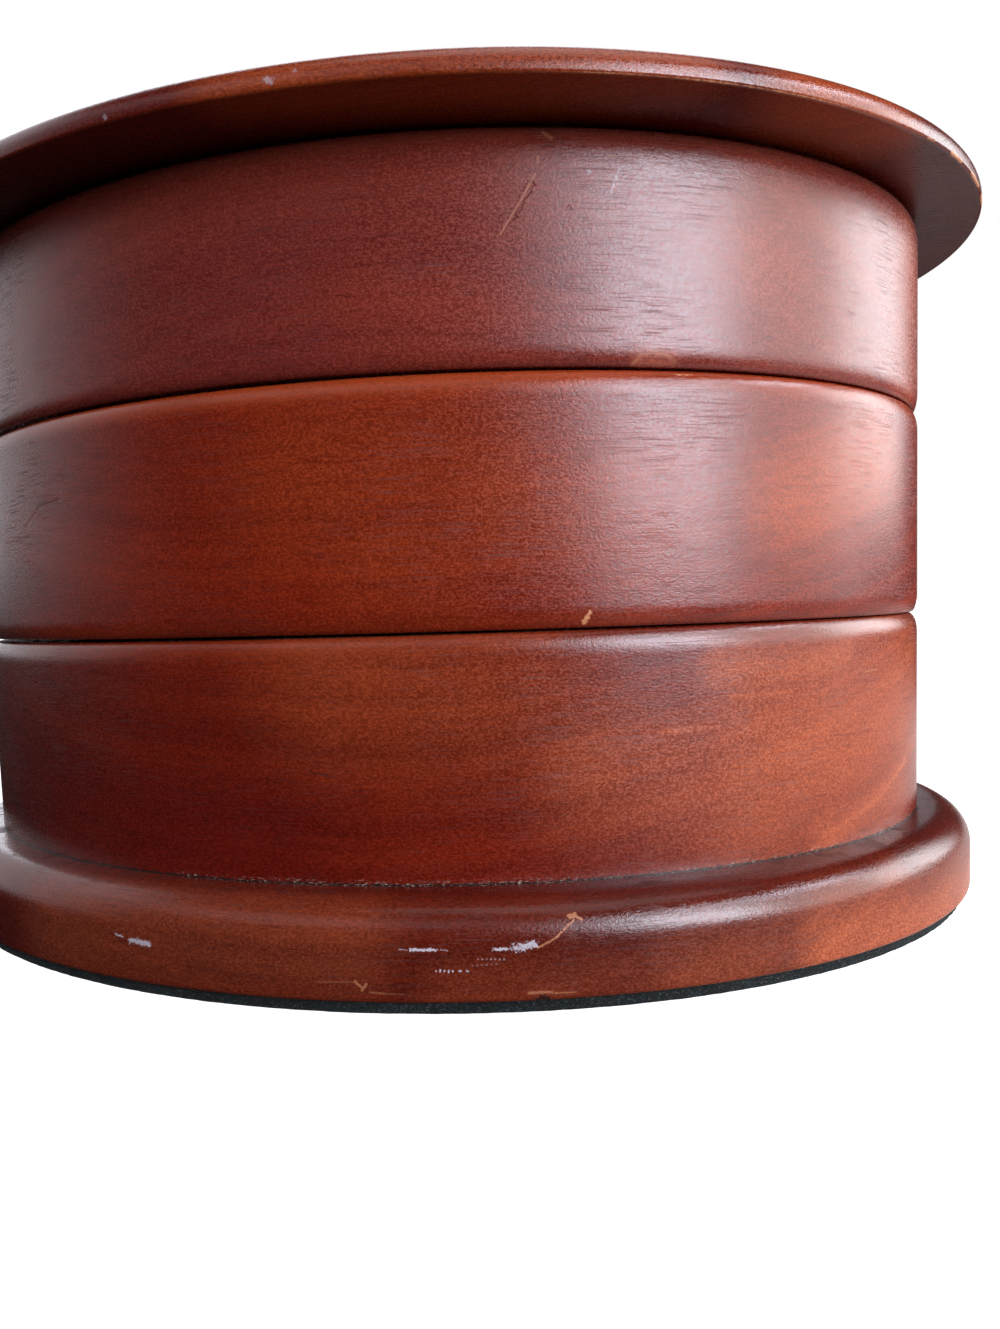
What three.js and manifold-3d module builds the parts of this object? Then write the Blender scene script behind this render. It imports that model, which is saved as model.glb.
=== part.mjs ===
// A swivel jewellery box: three oval trays stacked on a moulded base under a thin overhanging lid.
// The bottom tray is glued to the base. The middle tray, the top tray and the lid each turn on one
// steel bolt at the narrow left end, so that they fan out and uncover the tray below.
// Millimetres, +Z up, X along the oval, the front towards -Y, origin under the middle of the base.
import * as THREE from "three";
import { mergeVertices } from "three/addons/utils/BufferGeometryUtils.js";
import Module from "manifold-3d";

const wasm = await Module();
wasm.setup();

// Oval plan of the trays, and how far the base and the lid stand out from it
const trayWidth = 232;
const trayDepth = 158;
const baseOverhang = 10.8;
const lidOverhang = 12.2;
const ovalSteps = 72;

// Heights, from the table up
const feltThickness = 2.5;
const baseThickness = 16.5;
const bottomTrayHeight = 44;
const middleTrayHeight = 43.8;
const topTrayHeight = 39.2;
const lidThickness = 5.6;
const seamGap = 0.6;

// Rounded edges of the wood. Those of the trays reach further up the side than in from it.
const baseTopRadius = 7;
const baseFootRadius = 1;
const lidTopRadius = 4.4;
const lidFootRadius = 0.6;
const trayRimInset = 1.9;
const trayRimHeight = 4.2;
const trayFootInset = 1.3;
const trayFootHeight = 3.4;
const roundSteps = 4;
const easedSteps = 2;

// Tray walls, the solid block at the pivot end, and the panels let into the undersides
const wallThickness = 10;
const pivotInset = 20;
const pivotBlockReach = 20;
const insideCornerSetback = 12;
const insideSteps = 44;
const insideCornerSteps = 4;
const rabbetWidth = 4;
const floorThickness = 3;
const liningThickness = 1.5;
const liningGap = 0.4;
const feltInset = 1.6;
const seatGap = 0.2;

// Dividers that part the trays into compartments, lapped where they cross
const dividerThickness = 4;
const dividerDrop = 7;
const dividerEndGap = 0.3;
const lapGap = 0.25;
const lapShare = 0.5;
const bottomCrossX = -22;
const middleCrossLeftX = -24;
const middleCrossRightX = 42;

// Velvet rolls of the ring cushion in the top tray
const ringRollCount = 5;
const ringRollWidth = 12.2;
const ringRollHeight = 17;
const ringRollGap = 0.3;
const ringRollEndGap = 0.8;
const ringRollEndRadius = 3;
const ringRollCrownShare = 0.56;
const ringBedX = 14;
const ringRollSteps = 14;
const ringRollEndSteps = 2;

// Pivot bolt, its nut and the bushes of the turning trays
const boltRadius = 4;
const boltHeadRadius = 11;
const boltHeadThickness = 1.6;
const boltEndClearance = 0.6;
const runningGap = 0.15;
const nutThickness = 6.5;
const nutRadius = 7.5;
const nutSides = 6;
const nutWasherRadius = 10;
const nutWasherThickness = 1.6;
const nutPocketRadius = 12;
const nutPocketDepth = 9;
const bushRadius = 6;
const bushFlangeRadius = 10;
const bushFlangeThickness = 1.6;
const bushProud = 0.4;
const lidWasherRadius = 10;
const lidWasherThickness = 1.2;
const boreSteps = 32;

// Steel plate that holds the bolt's head in the lid, and its countersunk screws
const retainerRadius = 18;
const retainerThickness = 1.2;
const headPocketGap = 0.25;
const screwCount = 3;
const screwCircleRadius = 14.7;
const screwLength = 4;
const screwHeadRadius = 2.2;
const screwHeadRim = 0.15;
const screwHeadDepth = 1;
const screwShankRadius = 1.1;
const screwPointLength = 1.1;
const screwGap = 0.1;
const screwSteps = 12;

// A cut runs past the face that it opens by the overrun. Vertices nearer than the weld are one.
const overrun = 1;
const weld = 0.0005;

// Places that follow from the sizes
const halfWidth = trayWidth / 2;
const halfDepth = trayDepth / 2;
const insideWidth = halfWidth - wallThickness;
const insideDepth = halfDepth - wallThickness;
const pivotX = pivotInset - halfWidth;
const baseZ = feltThickness;
const bottomTrayZ = baseZ + baseThickness;
const bottomTrayTop = bottomTrayZ + bottomTrayHeight;
const middleTrayZ = bottomTrayTop + seamGap;
const middleTrayTop = middleTrayZ + middleTrayHeight;
const topTrayZ = middleTrayTop + seamGap;
const topTrayTop = topTrayZ + topTrayHeight;
const lidWasherZ = topTrayTop + bushProud - lidWasherThickness;
const lidZ = topTrayTop + seamGap;
const lidTop = lidZ + lidThickness;
const boltHeadZ = lidZ + retainerThickness + headPocketGap;
const nutWasherZ = baseZ + nutPocketDepth - nutWasherThickness;

// Finishes
const stainedWood = new THREE.MeshStandardMaterial({ color: 0x7c2f19, roughness: 0.38, metalness: 0 });
const plywood = new THREE.MeshStandardMaterial({ color: 0x6a3620, roughness: 0.6, metalness: 0 });
const blackFelt = new THREE.MeshStandardMaterial({ color: 0x23292a, roughness: 0.95, metalness: 0 });
const velvet = new THREE.MeshStandardMaterial({ color: 0x1f2022, roughness: 0.9, metalness: 0 });
const steel = new THREE.MeshStandardMaterial({ color: 0xb4b6b8, roughness: 0.35, metalness: 1 });
const nylon = new THREE.MeshStandardMaterial({ color: 0xe4dfd2, roughness: 0.5, metalness: 0 });

// Turns a closed geometry into a solid that can be cut and joined.
function solid(geometry) {
  const bare = geometry.clone();
  bare.deleteAttribute("normal");
  bare.deleteAttribute("uv");
  const welded = mergeVertices(bare, weld);
  const mesh = new wasm.Mesh({
    numProp: 3,
    vertProperties: welded.attributes.position.array,
    triVerts: new Uint32Array(welded.index.array),
  });
  return new wasm.Manifold(mesh);
}

// Turns a solid back into a geometry.
function geometryOf(body) {
  const mesh = body.getMesh();
  const geometry = new THREE.BufferGeometry();
  geometry.setAttribute("position", new THREE.BufferAttribute(mesh.vertProperties, mesh.numProp));
  geometry.setIndex(new THREE.BufferAttribute(mesh.triVerts, 1));
  geometry.computeVertexNormals();
  return geometry;
}

// Revolves a profile of radius and height about Z.
function revolve(profile, steps) {
  const points = profile.map(([radius, z]) => new THREE.Vector2(radius, z));
  return new THREE.LatheGeometry(points, steps).rotateX(Math.PI / 2);
}

// A revolved solid whose axis stands at x and y.
function turned(x, y, profile, steps) {
  return solid(revolve(profile, steps).translate(x, y, 0));
}

// A round bar, hole or disc on the pivot's axis, between two heights.
function pivotBar(radius, low, high) {
  return turned(pivotX, 0, [[0, low], [radius, low], [radius, high], [0, high]], boreSteps);
}

// An upright strip between two heights, its middle at x on the long axis.
function strip(x, width, depth, low, high) {
  const height = high - low;
  return solid(new THREE.BoxGeometry(width, depth, height).translate(x, 0, low + height / 2));
}

// How far a rounded edge reaches in from the side and up it.
function rounding(inset, height, steps) {
  return { inset, height, steps };
}

// Points of a rounded edge about its centre, a quarter turn anticlockwise from an angle.
function quarterRound(radius, z, edge, start) {
  return Array.from({ length: edge.steps + 1 }, (_, i) => {
    const angle = start + (i * Math.PI) / 2 / edge.steps;
    return [radius + edge.inset * Math.cos(angle), z + edge.height * Math.sin(angle)];
  });
}

// An oval slab: a revolved profile drawn out along X by the difference of the oval's half sizes.
// Its foot edge is square where the foot's rounding is left out, and so is its top edge.
function ovalSlab(low, high, overhang, foot, top) {
  const side = halfDepth + overhang;
  const lower = foot
    ? quarterRound(side - foot.inset, low + foot.height, foot, -Math.PI / 2)
    : [[side, low]];
  const upper = top ? quarterRound(side - top.inset, high - top.height, top, 0) : [[side, high]];
  const geometry = revolve([[0, low], ...lower, ...upper, [0, high]], ovalSteps);
  const places = geometry.attributes.position;
  for (let i = 0; i < places.count; i++) {
    const x = places.getX(i);
    const radius = Math.hypot(x, places.getY(i));
    const cosine = radius > weld ? x / radius : 0;
    places.setX(i, x + (halfWidth - halfDepth) * cosine);
  }
  return solid(geometry);
}

// The inside outline of a tray, grown outwards: an oval inside the wall, cut off square by the
// block at the pivot end, where its two corners are rounded.
function insideOutline(grow) {
  const reachX = insideWidth + grow;
  const reachY = insideDepth + grow;
  const endX = pivotX + pivotBlockReach - grow;
  const cornerAngle = Math.acos(endX / reachX);
  const cornerY = reachY * Math.sin(cornerAngle);
  const wallAngle = cornerAngle - insideCornerSetback / reachY;
  const wall = new THREE.EllipseCurve(0, 0, reachX, reachY, -wallAngle, wallAngle);
  const corner = new THREE.QuadraticBezierCurve(
    new THREE.Vector2(reachX * Math.cos(wallAngle), reachY * Math.sin(wallAngle)),
    new THREE.Vector2(endX, cornerY),
    new THREE.Vector2(endX, cornerY - insideCornerSetback),
  );
  const back = corner.getPoints(insideCornerSteps).slice(1);
  const front = back.slice().reverse().map((point) => new THREE.Vector2(point.x, -point.y));
  return new THREE.Shape([...wall.getPoints(insideSteps), ...back, ...front]);
}

// The inside of a tray between two heights, as a solid to cut with or a panel to lay in.
function inside(grow, low, high) {
  const options = { depth: high - low, bevelEnabled: false };
  return solid(new THREE.ExtrudeGeometry(insideOutline(grow), options).translate(0, 0, low));
}

// The part, and what adds a named piece to it.
const jewelleryBox = new THREE.Group();

function add(name, body, material) {
  const mesh = new THREE.Mesh(geometryOf(body), material);
  mesh.name = name;
  jewelleryBox.add(mesh);
}

// The bore that the bolt runs in, from below the base to above the lid's plate.
const boltBore = pivotBar(boltRadius + runningGap, baseZ - overrun, lidTop);
const trayRim = rounding(trayRimInset, trayRimHeight, roundSteps);
const trayFoot = rounding(trayFootInset, trayFootHeight, roundSteps);

// Base: a moulded board with a pocket below for the bolt's nut.
function basePlate() {
  const foot = rounding(baseFootRadius, baseFootRadius, easedSteps);
  const top = rounding(baseTopRadius, baseTopRadius, roundSteps);
  const board = ovalSlab(baseZ, bottomTrayZ, baseOverhang, foot, top);
  const nutPocket = pivotBar(nutPocketRadius, baseZ - overrun, baseZ + nutPocketDepth);
  return board.subtract(boltBore).subtract(nutPocket);
}

// Tray wall: an oval ring with the pivot block at its left end.
function trayWall(low, high, foot) {
  const shell = ovalSlab(low, high, 0, foot, trayRim);
  return shell.subtract(inside(0, low - overrun, high + overrun)).subtract(boltBore);
}

// The wall of a turning tray has a rabbet below for its floor, and a stepped bore for its bush.
function turningTrayWall(low, high) {
  const rabbet = inside(rabbetWidth, low - overrun, low + floorThickness);
  const bore = pivotBar(bushRadius + seatGap, low - overrun, high + overrun);
  const flangeTop = low - bushProud + bushFlangeThickness;
  const flangeSeat = pivotBar(bushFlangeRadius + seatGap, low - overrun, flangeTop);
  return trayWall(low, high, trayFoot).subtract(rabbet).subtract(bore).subtract(flangeSeat);
}

// A flanged bush. Its flange stands proud below, so that the tray turns on it.
function bush(low, high) {
  const bore = boltRadius + runningGap;
  const foot = low - bushProud;
  const flangeTop = foot + bushFlangeThickness;
  const profile = [
    [bore, foot],
    [bushFlangeRadius, foot],
    [bushFlangeRadius, flangeTop],
    [bushRadius, flangeTop],
    [bushRadius, high],
    [bore, high],
    [bore, foot],
  ];
  return turned(pivotX, 0, profile, boreSteps);
}

function trayFloor(low) {
  return inside(rabbetWidth - seatGap, low, low + floorThickness);
}

function lining(low) {
  return inside(-liningGap, low, low + liningThickness);
}

// A divider along or across a tray, its ends shaped to the wall that it meets.
function divider(x, width, depth, low, high) {
  return strip(x, width, depth, low, high).intersect(inside(-dividerEndGap, low, high));
}

function crossDivider(x, low, high) {
  return divider(x, dividerThickness, trayDepth, low, high);
}

function longDivider(left, low, high) {
  const width = halfWidth - left;
  return divider(left + width / 2, width, dividerThickness, low, high);
}

// The notch where two dividers cross.
function lap(x, low, high) {
  const width = dividerThickness + lapGap * 2;
  return strip(x, width, width, low, high);
}

// One velvet roll: a section with a full crown, drawn in at its foot and at its two ends.
function ringRoll(x, low) {
  const halfRoll = ringRollWidth / 2;
  const crown = ringRollHeight * ringRollCrownShare;
  const middle = ringRollHeight - crown;
  const footAngle = -Math.asin(middle / crown);
  const curve = new THREE.EllipseCurve(0, middle, halfRoll, crown, footAngle, Math.PI - footAngle);
  const wallShare = (Math.abs(x) + halfRoll) / insideWidth;
  const reach = insideDepth * Math.sqrt(1 - wallShare ** 2) - ringRollEndGap;
  const straight = (reach - ringRollEndRadius) * 2;
  const options = {
    depth: straight,
    bevelSize: ringRollEndRadius,
    bevelOffset: -ringRollEndRadius,
    bevelThickness: ringRollEndRadius,
    bevelSegments: ringRollEndSteps,
  };
  const roll = new THREE.ExtrudeGeometry(new THREE.Shape(curve.getPoints(ringRollSteps)), options);
  return solid(roll.translate(0, 0, -straight / 2).rotateX(Math.PI / 2).translate(x, 0, low));
}

// A countersunk screw driven up into a face, or the hole for it, which is grown and starts lower.
function screw(x, y, face, grow, start) {
  const tip = face + screwLength + grow;
  const profile = [
    [0, start],
    [screwHeadRadius + grow, start],
    [screwHeadRadius + grow, face + screwHeadRim],
    [screwShankRadius + grow, face + screwHeadDepth],
    [screwShankRadius + grow, tip - screwPointLength],
    [0, tip],
  ];
  return turned(x, y, profile, screwSteps);
}

const screwPlaces = Array.from({ length: screwCount }, (_, i) => {
  const angle = (i * Math.PI * 2) / screwCount;
  return [pivotX + screwCircleRadius * Math.cos(angle), screwCircleRadius * Math.sin(angle)];
});

function lessScrewHoles(body) {
  const hole = ([x, y]) => screw(x, y, lidZ, screwGap, lidZ - overrun);
  return screwPlaces.reduce((rest, place) => rest.subtract(hole(place)), body);
}

// Lid: a thin board with a stepped pocket below for the plate and the bolt's head.
function lidPanel() {
  const foot = rounding(lidFootRadius, lidFootRadius, easedSteps);
  const top = rounding(lidTopRadius, lidTopRadius, roundSteps);
  const board = ovalSlab(lidZ, lidTop, lidOverhang, foot, top);
  const headTop = boltHeadZ + boltHeadThickness;
  const plateSeat = pivotBar(retainerRadius + seatGap, lidZ - overrun, lidZ + retainerThickness);
  const headPocket = pivotBar(boltHeadRadius + headPocketGap, lidZ - overrun, headTop + headPocketGap);
  return lessScrewHoles(board.subtract(plateSeat).subtract(headPocket));
}

function retainerPlate() {
  const plate = pivotBar(retainerRadius, lidZ, lidZ + retainerThickness);
  return lessScrewHoles(plate.subtract(boltBore));
}

// Bolt: a plain shank with a thin flat head above the lid's plate.
function pivotBolt() {
  const foot = baseZ + boltEndClearance;
  const headTop = boltHeadZ + boltHeadThickness;
  const profile = [
    [0, foot],
    [boltRadius, foot],
    [boltRadius, boltHeadZ],
    [boltHeadRadius, boltHeadZ],
    [boltHeadRadius, headTop],
    [0, headTop],
  ];
  return turned(pivotX, 0, profile, boreSteps);
}

function pivotNut() {
  const nut = new THREE.CylinderGeometry(nutRadius, nutRadius, nutThickness, nutSides);
  const middle = nutWasherZ - nutThickness / 2;
  return solid(nut.rotateX(Math.PI / 2).translate(pivotX, 0, middle)).subtract(boltBore);
}

function pivotWasher(radius, low, thickness) {
  return pivotBar(radius, low, low + thickness).subtract(boltBore);
}

// The base and the bottom tray, which stand still with the bolt
const bottomInsideZ = bottomTrayZ + liningThickness;
const bottomDividerTop = bottomTrayTop - dividerDrop;
const bottomLongLeft = bottomCrossX + dividerThickness / 2 + lapGap;
add("base_plate", basePlate(), stainedWood);
add("base_felt", ovalSlab(0, baseZ, baseOverhang - feltInset), blackFelt);
add("bottom_tray_wall", trayWall(bottomTrayZ, bottomTrayTop), stainedWood);
add("bottom_tray_lining", lining(bottomTrayZ), velvet);
add("bottom_divider_cross", crossDivider(bottomCrossX, bottomInsideZ, bottomDividerTop), stainedWood);
add("bottom_divider_long", longDivider(bottomLongLeft, bottomInsideZ, bottomDividerTop), stainedWood);
add("pivot_bolt", pivotBolt(), steel);
add("pivot_nut_washer", pivotWasher(nutWasherRadius, nutWasherZ, nutWasherThickness), steel);
add("pivot_nut", pivotNut(), steel);

// The middle tray, with two cross dividers lapped over a long one
const middleInsideZ = middleTrayZ + floorThickness + liningThickness;
const middleDividerTop = middleTrayTop - dividerDrop;
const middleLapZ = middleInsideZ + (middleDividerTop - middleInsideZ) * lapShare;
const middleCrosses = { left: middleCrossLeftX, right: middleCrossRightX };
let middleLong = longDivider(-halfWidth, middleInsideZ, middleDividerTop);
add("middle_tray_wall", turningTrayWall(middleTrayZ, middleTrayTop), stainedWood);
add("middle_tray_floor", trayFloor(middleTrayZ), plywood);
add("middle_tray_lining", lining(middleTrayZ + floorThickness), velvet);
for (const [side, x] of Object.entries(middleCrosses)) {
  const below = lap(x, middleInsideZ - overrun, middleLapZ + lapGap);
  const cross = crossDivider(x, middleInsideZ, middleDividerTop).subtract(below);
  middleLong = middleLong.subtract(lap(x, middleLapZ, middleTrayTop));
  add(`middle_divider_cross_${side}`, cross, stainedWood);
}
add("middle_divider_long", middleLong, stainedWood);
add("middle_bush", bush(middleTrayZ, middleTrayTop), nylon);

// The top tray, with the ring cushion between two dividers
const topInsideZ = topTrayZ + floorThickness + liningThickness;
const topDividerTop = topTrayTop - dividerDrop;
const ringRollPitch = ringRollWidth + ringRollGap;
const ringBedHalf = (ringRollPitch * ringRollCount + ringRollGap) / 2;
const washerSeat = pivotBar(lidWasherRadius + seatGap, lidWasherZ, topTrayTop + overrun);
add("top_tray_wall", turningTrayWall(topTrayZ, topTrayTop).subtract(washerSeat), stainedWood);
add("top_tray_floor", trayFloor(topTrayZ), plywood);
add("top_tray_lining", lining(topTrayZ + floorThickness), velvet);
for (const [side, way] of Object.entries({ left: -1, right: 1 })) {
  const x = ringBedX + way * (ringBedHalf + dividerThickness / 2);
  add(`top_divider_${side}`, crossDivider(x, topInsideZ, topDividerTop), stainedWood);
}
for (let i = 0; i < ringRollCount; i++) {
  const x = ringBedX + (i - (ringRollCount - 1) / 2) * ringRollPitch;
  add(`ring_roll_${i + 1}`, ringRoll(x, topInsideZ), velvet);
}
add("top_bush", bush(topTrayZ, lidWasherZ), nylon);
add("lid_washer", pivotWasher(lidWasherRadius, lidWasherZ, lidWasherThickness), nylon);

// The lid, with the plate that carries it on the bolt
add("lid_panel", lidPanel(), stainedWood);
add("retainer_plate", retainerPlate(), steel);
screwPlaces.forEach(([x, y], i) => add(`retainer_screw_${i + 1}`, screw(x, y, lidZ, 0, lidZ), steel));

export default jewelleryBox;
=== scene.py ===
"""The looks of an oval swivel jewellery box: stained trays, moulded base, thin lid and pivot."""

import logging
import math
import random
from collections.abc import Iterable, Sequence
from dataclasses import dataclass
from enum import Enum

import bmesh
import bpy
import numpy as np
from mathutils import Matrix, Vector


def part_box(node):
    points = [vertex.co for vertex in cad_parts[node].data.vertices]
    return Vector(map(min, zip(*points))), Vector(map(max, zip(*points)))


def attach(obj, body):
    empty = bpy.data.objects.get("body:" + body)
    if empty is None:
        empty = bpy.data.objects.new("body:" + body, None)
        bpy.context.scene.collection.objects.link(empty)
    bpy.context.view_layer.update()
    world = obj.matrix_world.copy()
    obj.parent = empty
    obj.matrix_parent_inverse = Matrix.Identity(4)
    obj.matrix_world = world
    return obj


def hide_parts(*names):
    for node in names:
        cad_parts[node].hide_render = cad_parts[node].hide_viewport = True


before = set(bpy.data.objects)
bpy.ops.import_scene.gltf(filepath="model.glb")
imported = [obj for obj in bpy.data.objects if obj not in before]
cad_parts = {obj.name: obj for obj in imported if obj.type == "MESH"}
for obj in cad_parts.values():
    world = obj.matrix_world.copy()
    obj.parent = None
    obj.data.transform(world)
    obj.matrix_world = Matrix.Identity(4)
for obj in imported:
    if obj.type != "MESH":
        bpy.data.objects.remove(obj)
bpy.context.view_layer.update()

LOG = logging.getLogger("jewellery_box")
MM = 0.001
PHOTO_HEIGHT = 1329
OVAL_STEPS = 480
ROUND_STEPS = 96
OVERRUN = 1 * MM
BOLT_HOLE = 4.15 * MM
LINING_GAP = 0.4 * MM
LONGEST_EASE_SHARE = 0.4
RING_ROLLS = 5
SQUARE = ((-1, -1), (1, -1), (1, 1), (-1, 1))
DIVIDERS = {
    "base": ("bottom_divider_cross", "bottom_divider_long"),
    "middle_tray": ("middle_divider_cross_left", "middle_divider_cross_right", "middle_divider_long"),
    "top_tray": ("top_divider_left", "top_divider_right"),
}
FLOORS = {"middle_tray": ("middle_tray_floor",), "top_tray": ("top_tray_floor",)}

Colour = tuple[float, float, float]
Point = tuple[float, float, float]
Span = tuple[float, float]
Profile = Sequence[tuple[float, float]]

BLACK: Colour = (0.0, 0.0, 0.0)
WHITE: Colour = (1.0, 1.0, 1.0)
GRIME: Colour = (0.012, 0.008, 0.007)


class Side(Enum):
    """Which outline of a tray a station of its section lies on."""

    OUTER = "outer"
    INNER = "inner"


class Worn(Enum):
    """How a mark or a patch of the finish looks."""

    BARE = "rubbed through to bare wood"
    CHALKY = "white scuff"
    DENT = "dent in the lacquer"
    DIRT = "dark dirt"
    # Broad warm patches also paint light on the lit right-hand side of a piece; broad deep patches paint
    # shade on its left, and darken bands along the seams.
    THIN_STAIN_AND_PAINTED_LIGHT = "thin stain"
    HEAVY_STAIN_AND_PAINTED_SHADE = "heavy stain"
    RUBBED = "edge that hands rub"


class Grain(Enum):
    """Along which axes a finish's grain is drawn out."""

    BOARD = (True, False, False)
    WALL = (True, True, False)


# Shader maths


@dataclass(frozen=True)
class Noise:
    """Fractal noise: features per millimetre, octaves, the share of each finer one, the draw of the grain."""

    scale: float
    detail: float = 2.0
    rough: float = 0.5
    drawn: float = 1.0


class Wire:
    """An output socket whose arithmetic adds Math nodes."""

    def __init__(self, bench: "Bench", socket: bpy.types.NodeSocket) -> None:
        """Keeps the socket and the material that it belongs to.

        Args:
            bench: The material under work.
            socket: The output socket.
        """
        self.bench = bench
        self.socket = socket

    def _math(self, operation: str, first: "Wire | float", second: "Wire | float") -> "Wire":
        """Adds a Math node.

        Args:
            operation: The node's operation.
            first: Its first value or link.
            second: Its second value or link.

        Returns:
            The result's wire.
        """
        return self.bench.node("ShaderNodeMath", {"operation": operation}, {0: first, 1: second})

    def __add__(self, other: "Wire | float") -> "Wire":
        """Returns the sum."""
        return self._math("ADD", self, other)

    def __radd__(self, other: float) -> "Wire":
        """Returns the sum."""
        return self._math("ADD", other, self)

    def __sub__(self, other: "Wire | float") -> "Wire":
        """Returns the difference."""
        return self._math("SUBTRACT", self, other)

    def __rsub__(self, other: float) -> "Wire":
        """Returns the difference."""
        return self._math("SUBTRACT", other, self)

    def __mul__(self, other: "Wire | float") -> "Wire":
        """Returns the product."""
        return self._math("MULTIPLY", self, other)

    def __rmul__(self, other: float) -> "Wire":
        """Returns the product."""
        return self._math("MULTIPLY", other, self)

    def at_most(self, other: "Wire | float") -> "Wire":
        """Returns the lesser of the two."""
        return self._math("MINIMUM", self, other)

    def at_least(self, other: "Wire | float") -> "Wire":
        """Returns the greater of the two."""
        return self._math("MAXIMUM", self, other)

    def clamped(self) -> "Wire":
        """Returns the value held between 0 and 1."""
        return self.at_least(0.0).at_most(1.0)

    def centred(self) -> "Wire":
        """Returns a value of 0 to 1 as one of -0.5 to 0.5."""
        return self - 0.5

    def size(self) -> "Wire":
        """Returns the value without its sign."""
        return self.bench.node("ShaderNodeMath", {"operation": "ABSOLUTE"}, {0: self})

    def sine(self) -> "Wire":
        """Returns the sine."""
        return self.bench.node("ShaderNodeMath", {"operation": "SINE"}, {0: self})


class Bench:
    """A node tree that a finish is worked out on."""

    def __init__(self, tree: bpy.types.NodeTree) -> None:
        """Empties the tree.

        Args:
            tree: The node tree of a material or of the world.
        """
        self.tree = tree
        self.tree.nodes.clear()

    def node(
        self,
        kind: str,
        settings: dict[str, object] | None = None,
        inputs: dict[int | str, object] | None = None,
        output: int | str = 0,
    ) -> Wire:
        """Adds a node of any type.

        Args:
            kind: The node's type.
            settings: Its own settings, such as an operation, which are set first.
            inputs: Values or wires of its input sockets.
            output: The output socket to return.

        Returns:
            The wire of that output.
        """
        made = self.tree.nodes.new(kind)
        for name, value in (settings or {}).items():
            setattr(made, name, value)
        for key, value in (inputs or {}).items():
            if isinstance(value, Wire):
                self.tree.links.new(value.socket, made.inputs[key])
            else:
                made.inputs[key].default_value = value
        return Wire(self, made.outputs[output] if made.outputs else None)

    def vector(self, operation: str, first: object, second: object = (0.0, 0.0, 0.0)) -> Wire:
        """Adds a Vector Math node and returns its vector."""
        return self.node("ShaderNodeVectorMath", {"operation": operation}, {0: first, 1: second})

    def number(self, operation: str, first: object, second: object = (0.0, 0.0, 0.0)) -> Wire:
        """Adds a Vector Math node and returns its number."""
        settings = {"operation": operation}
        return self.node("ShaderNodeVectorMath", settings, {0: first, 1: second}, "Value")

    def scaled(self, vector: Wire, factor: "Wire | float") -> Wire:
        """Returns a vector times a number."""
        settings = {"operation": "SCALE"}
        return self.node("ShaderNodeVectorMath", settings, {0: vector, "Scale": factor})

    def axis(self, vector: Wire, name: str) -> Wire:
        """Returns one axis of a vector."""
        return self.node("ShaderNodeSeparateXYZ", {}, {0: vector}, name)

    def noise(self, place: Wire, noise: Noise, output: int | str = 0) -> Wire:
        """Returns fractal noise from about 0 to 1.

        Args:
            place: Where it is read.
            noise: Its scale and octaves.
            output: Its number, or Color for a vector.

        Returns:
            The noise's wire.
        """
        inputs = {"Vector": place, "Scale": noise.scale, "Detail": noise.detail, "Roughness": noise.rough}
        return self.node("ShaderNodeTexNoise", {}, inputs, output)

    def step(self, value: "Wire | float", low: float, high: float) -> Wire:
        """Returns a smooth rise from 0 to 1, or a fall if low is above high.

        Args:
            value: The value that it follows.
            low: Where it is 0.
            high: Where it is 1.

        Returns:
            The step's wire.
        """
        settings = {"interpolation_type": "SMOOTHSTEP"}
        inputs = {"Value": value, "From Min": low, "From Max": high}
        return self.node("ShaderNodeMapRange", settings, inputs)

    def mix(self, factor: "Wire | float", first: object, second: object, blend: str = "MIX") -> Wire:
        """Mixes two colours.

        Args:
            factor: Share of the second.
            first: A colour or its wire.
            second: A colour or its wire.
            blend: The Mix node's blend type.

        Returns:
            The colour's wire.
        """
        settings = {"data_type": "RGBA", "blend_type": blend}
        inputs = {0: factor, 6: self._paint(first), 7: self._paint(second)}
        return self.node("ShaderNodeMix", settings, inputs, 2)

    @staticmethod
    def _paint(colour: object) -> object:
        """Returns a colour with its alpha, or a wire as it is."""
        return colour if isinstance(colour, Wire) else (*colour, 1.0)

    def place_mm(self) -> Wire:
        """Returns the place on the piece at rest, in millimetres."""
        place = self.node("ShaderNodeTexCoord", output="Object")
        return self.scaled(place, 1 / MM)

    def attribute(self, name: str) -> Wire:
        """Returns a number stored on the mesh."""
        return self.node("ShaderNodeAttribute", {"attribute_name": name}, output="Fac")

    def bump(self, height_mm: Wire, strength: float = 1.0) -> Wire:
        """Returns the normal of a relief whose height is in millimetres."""
        inputs = {"Strength": strength, "Distance": MM, "Height": height_mm}
        return self.node("ShaderNodeBump", {}, inputs)


# Finishes


@dataclass(frozen=True)
class Finish:
    """A finish whose shader inputs are worked out with nodes."""

    name: str

    def material(self) -> bpy.types.Material:
        """Makes the finish's material from a Principled shader.

        Returns:
            The material.
        """
        material = bpy.data.materials.new(self.name)
        material.use_nodes = True
        bench = Bench(material.node_tree)
        shader = bench.node("ShaderNodeBsdfPrincipled", {}, self.shade(bench))
        bench.node("ShaderNodeOutputMaterial", {}, {"Surface": shader})
        return material

    def shade(self, bench: Bench) -> dict[str, object]:
        """Works out the shader's inputs, which each finish does its own way."""
        raise NotImplementedError


@dataclass(frozen=True)
class Mark:
    """A mark or a stain patch along a straight stretch, in millimetres; some stain patches are painted light
    and painted shade.
    """

    worn: Worn
    width: float
    strength: float
    start: Point
    end: Point | None = None
    dots: int = 0


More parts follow.
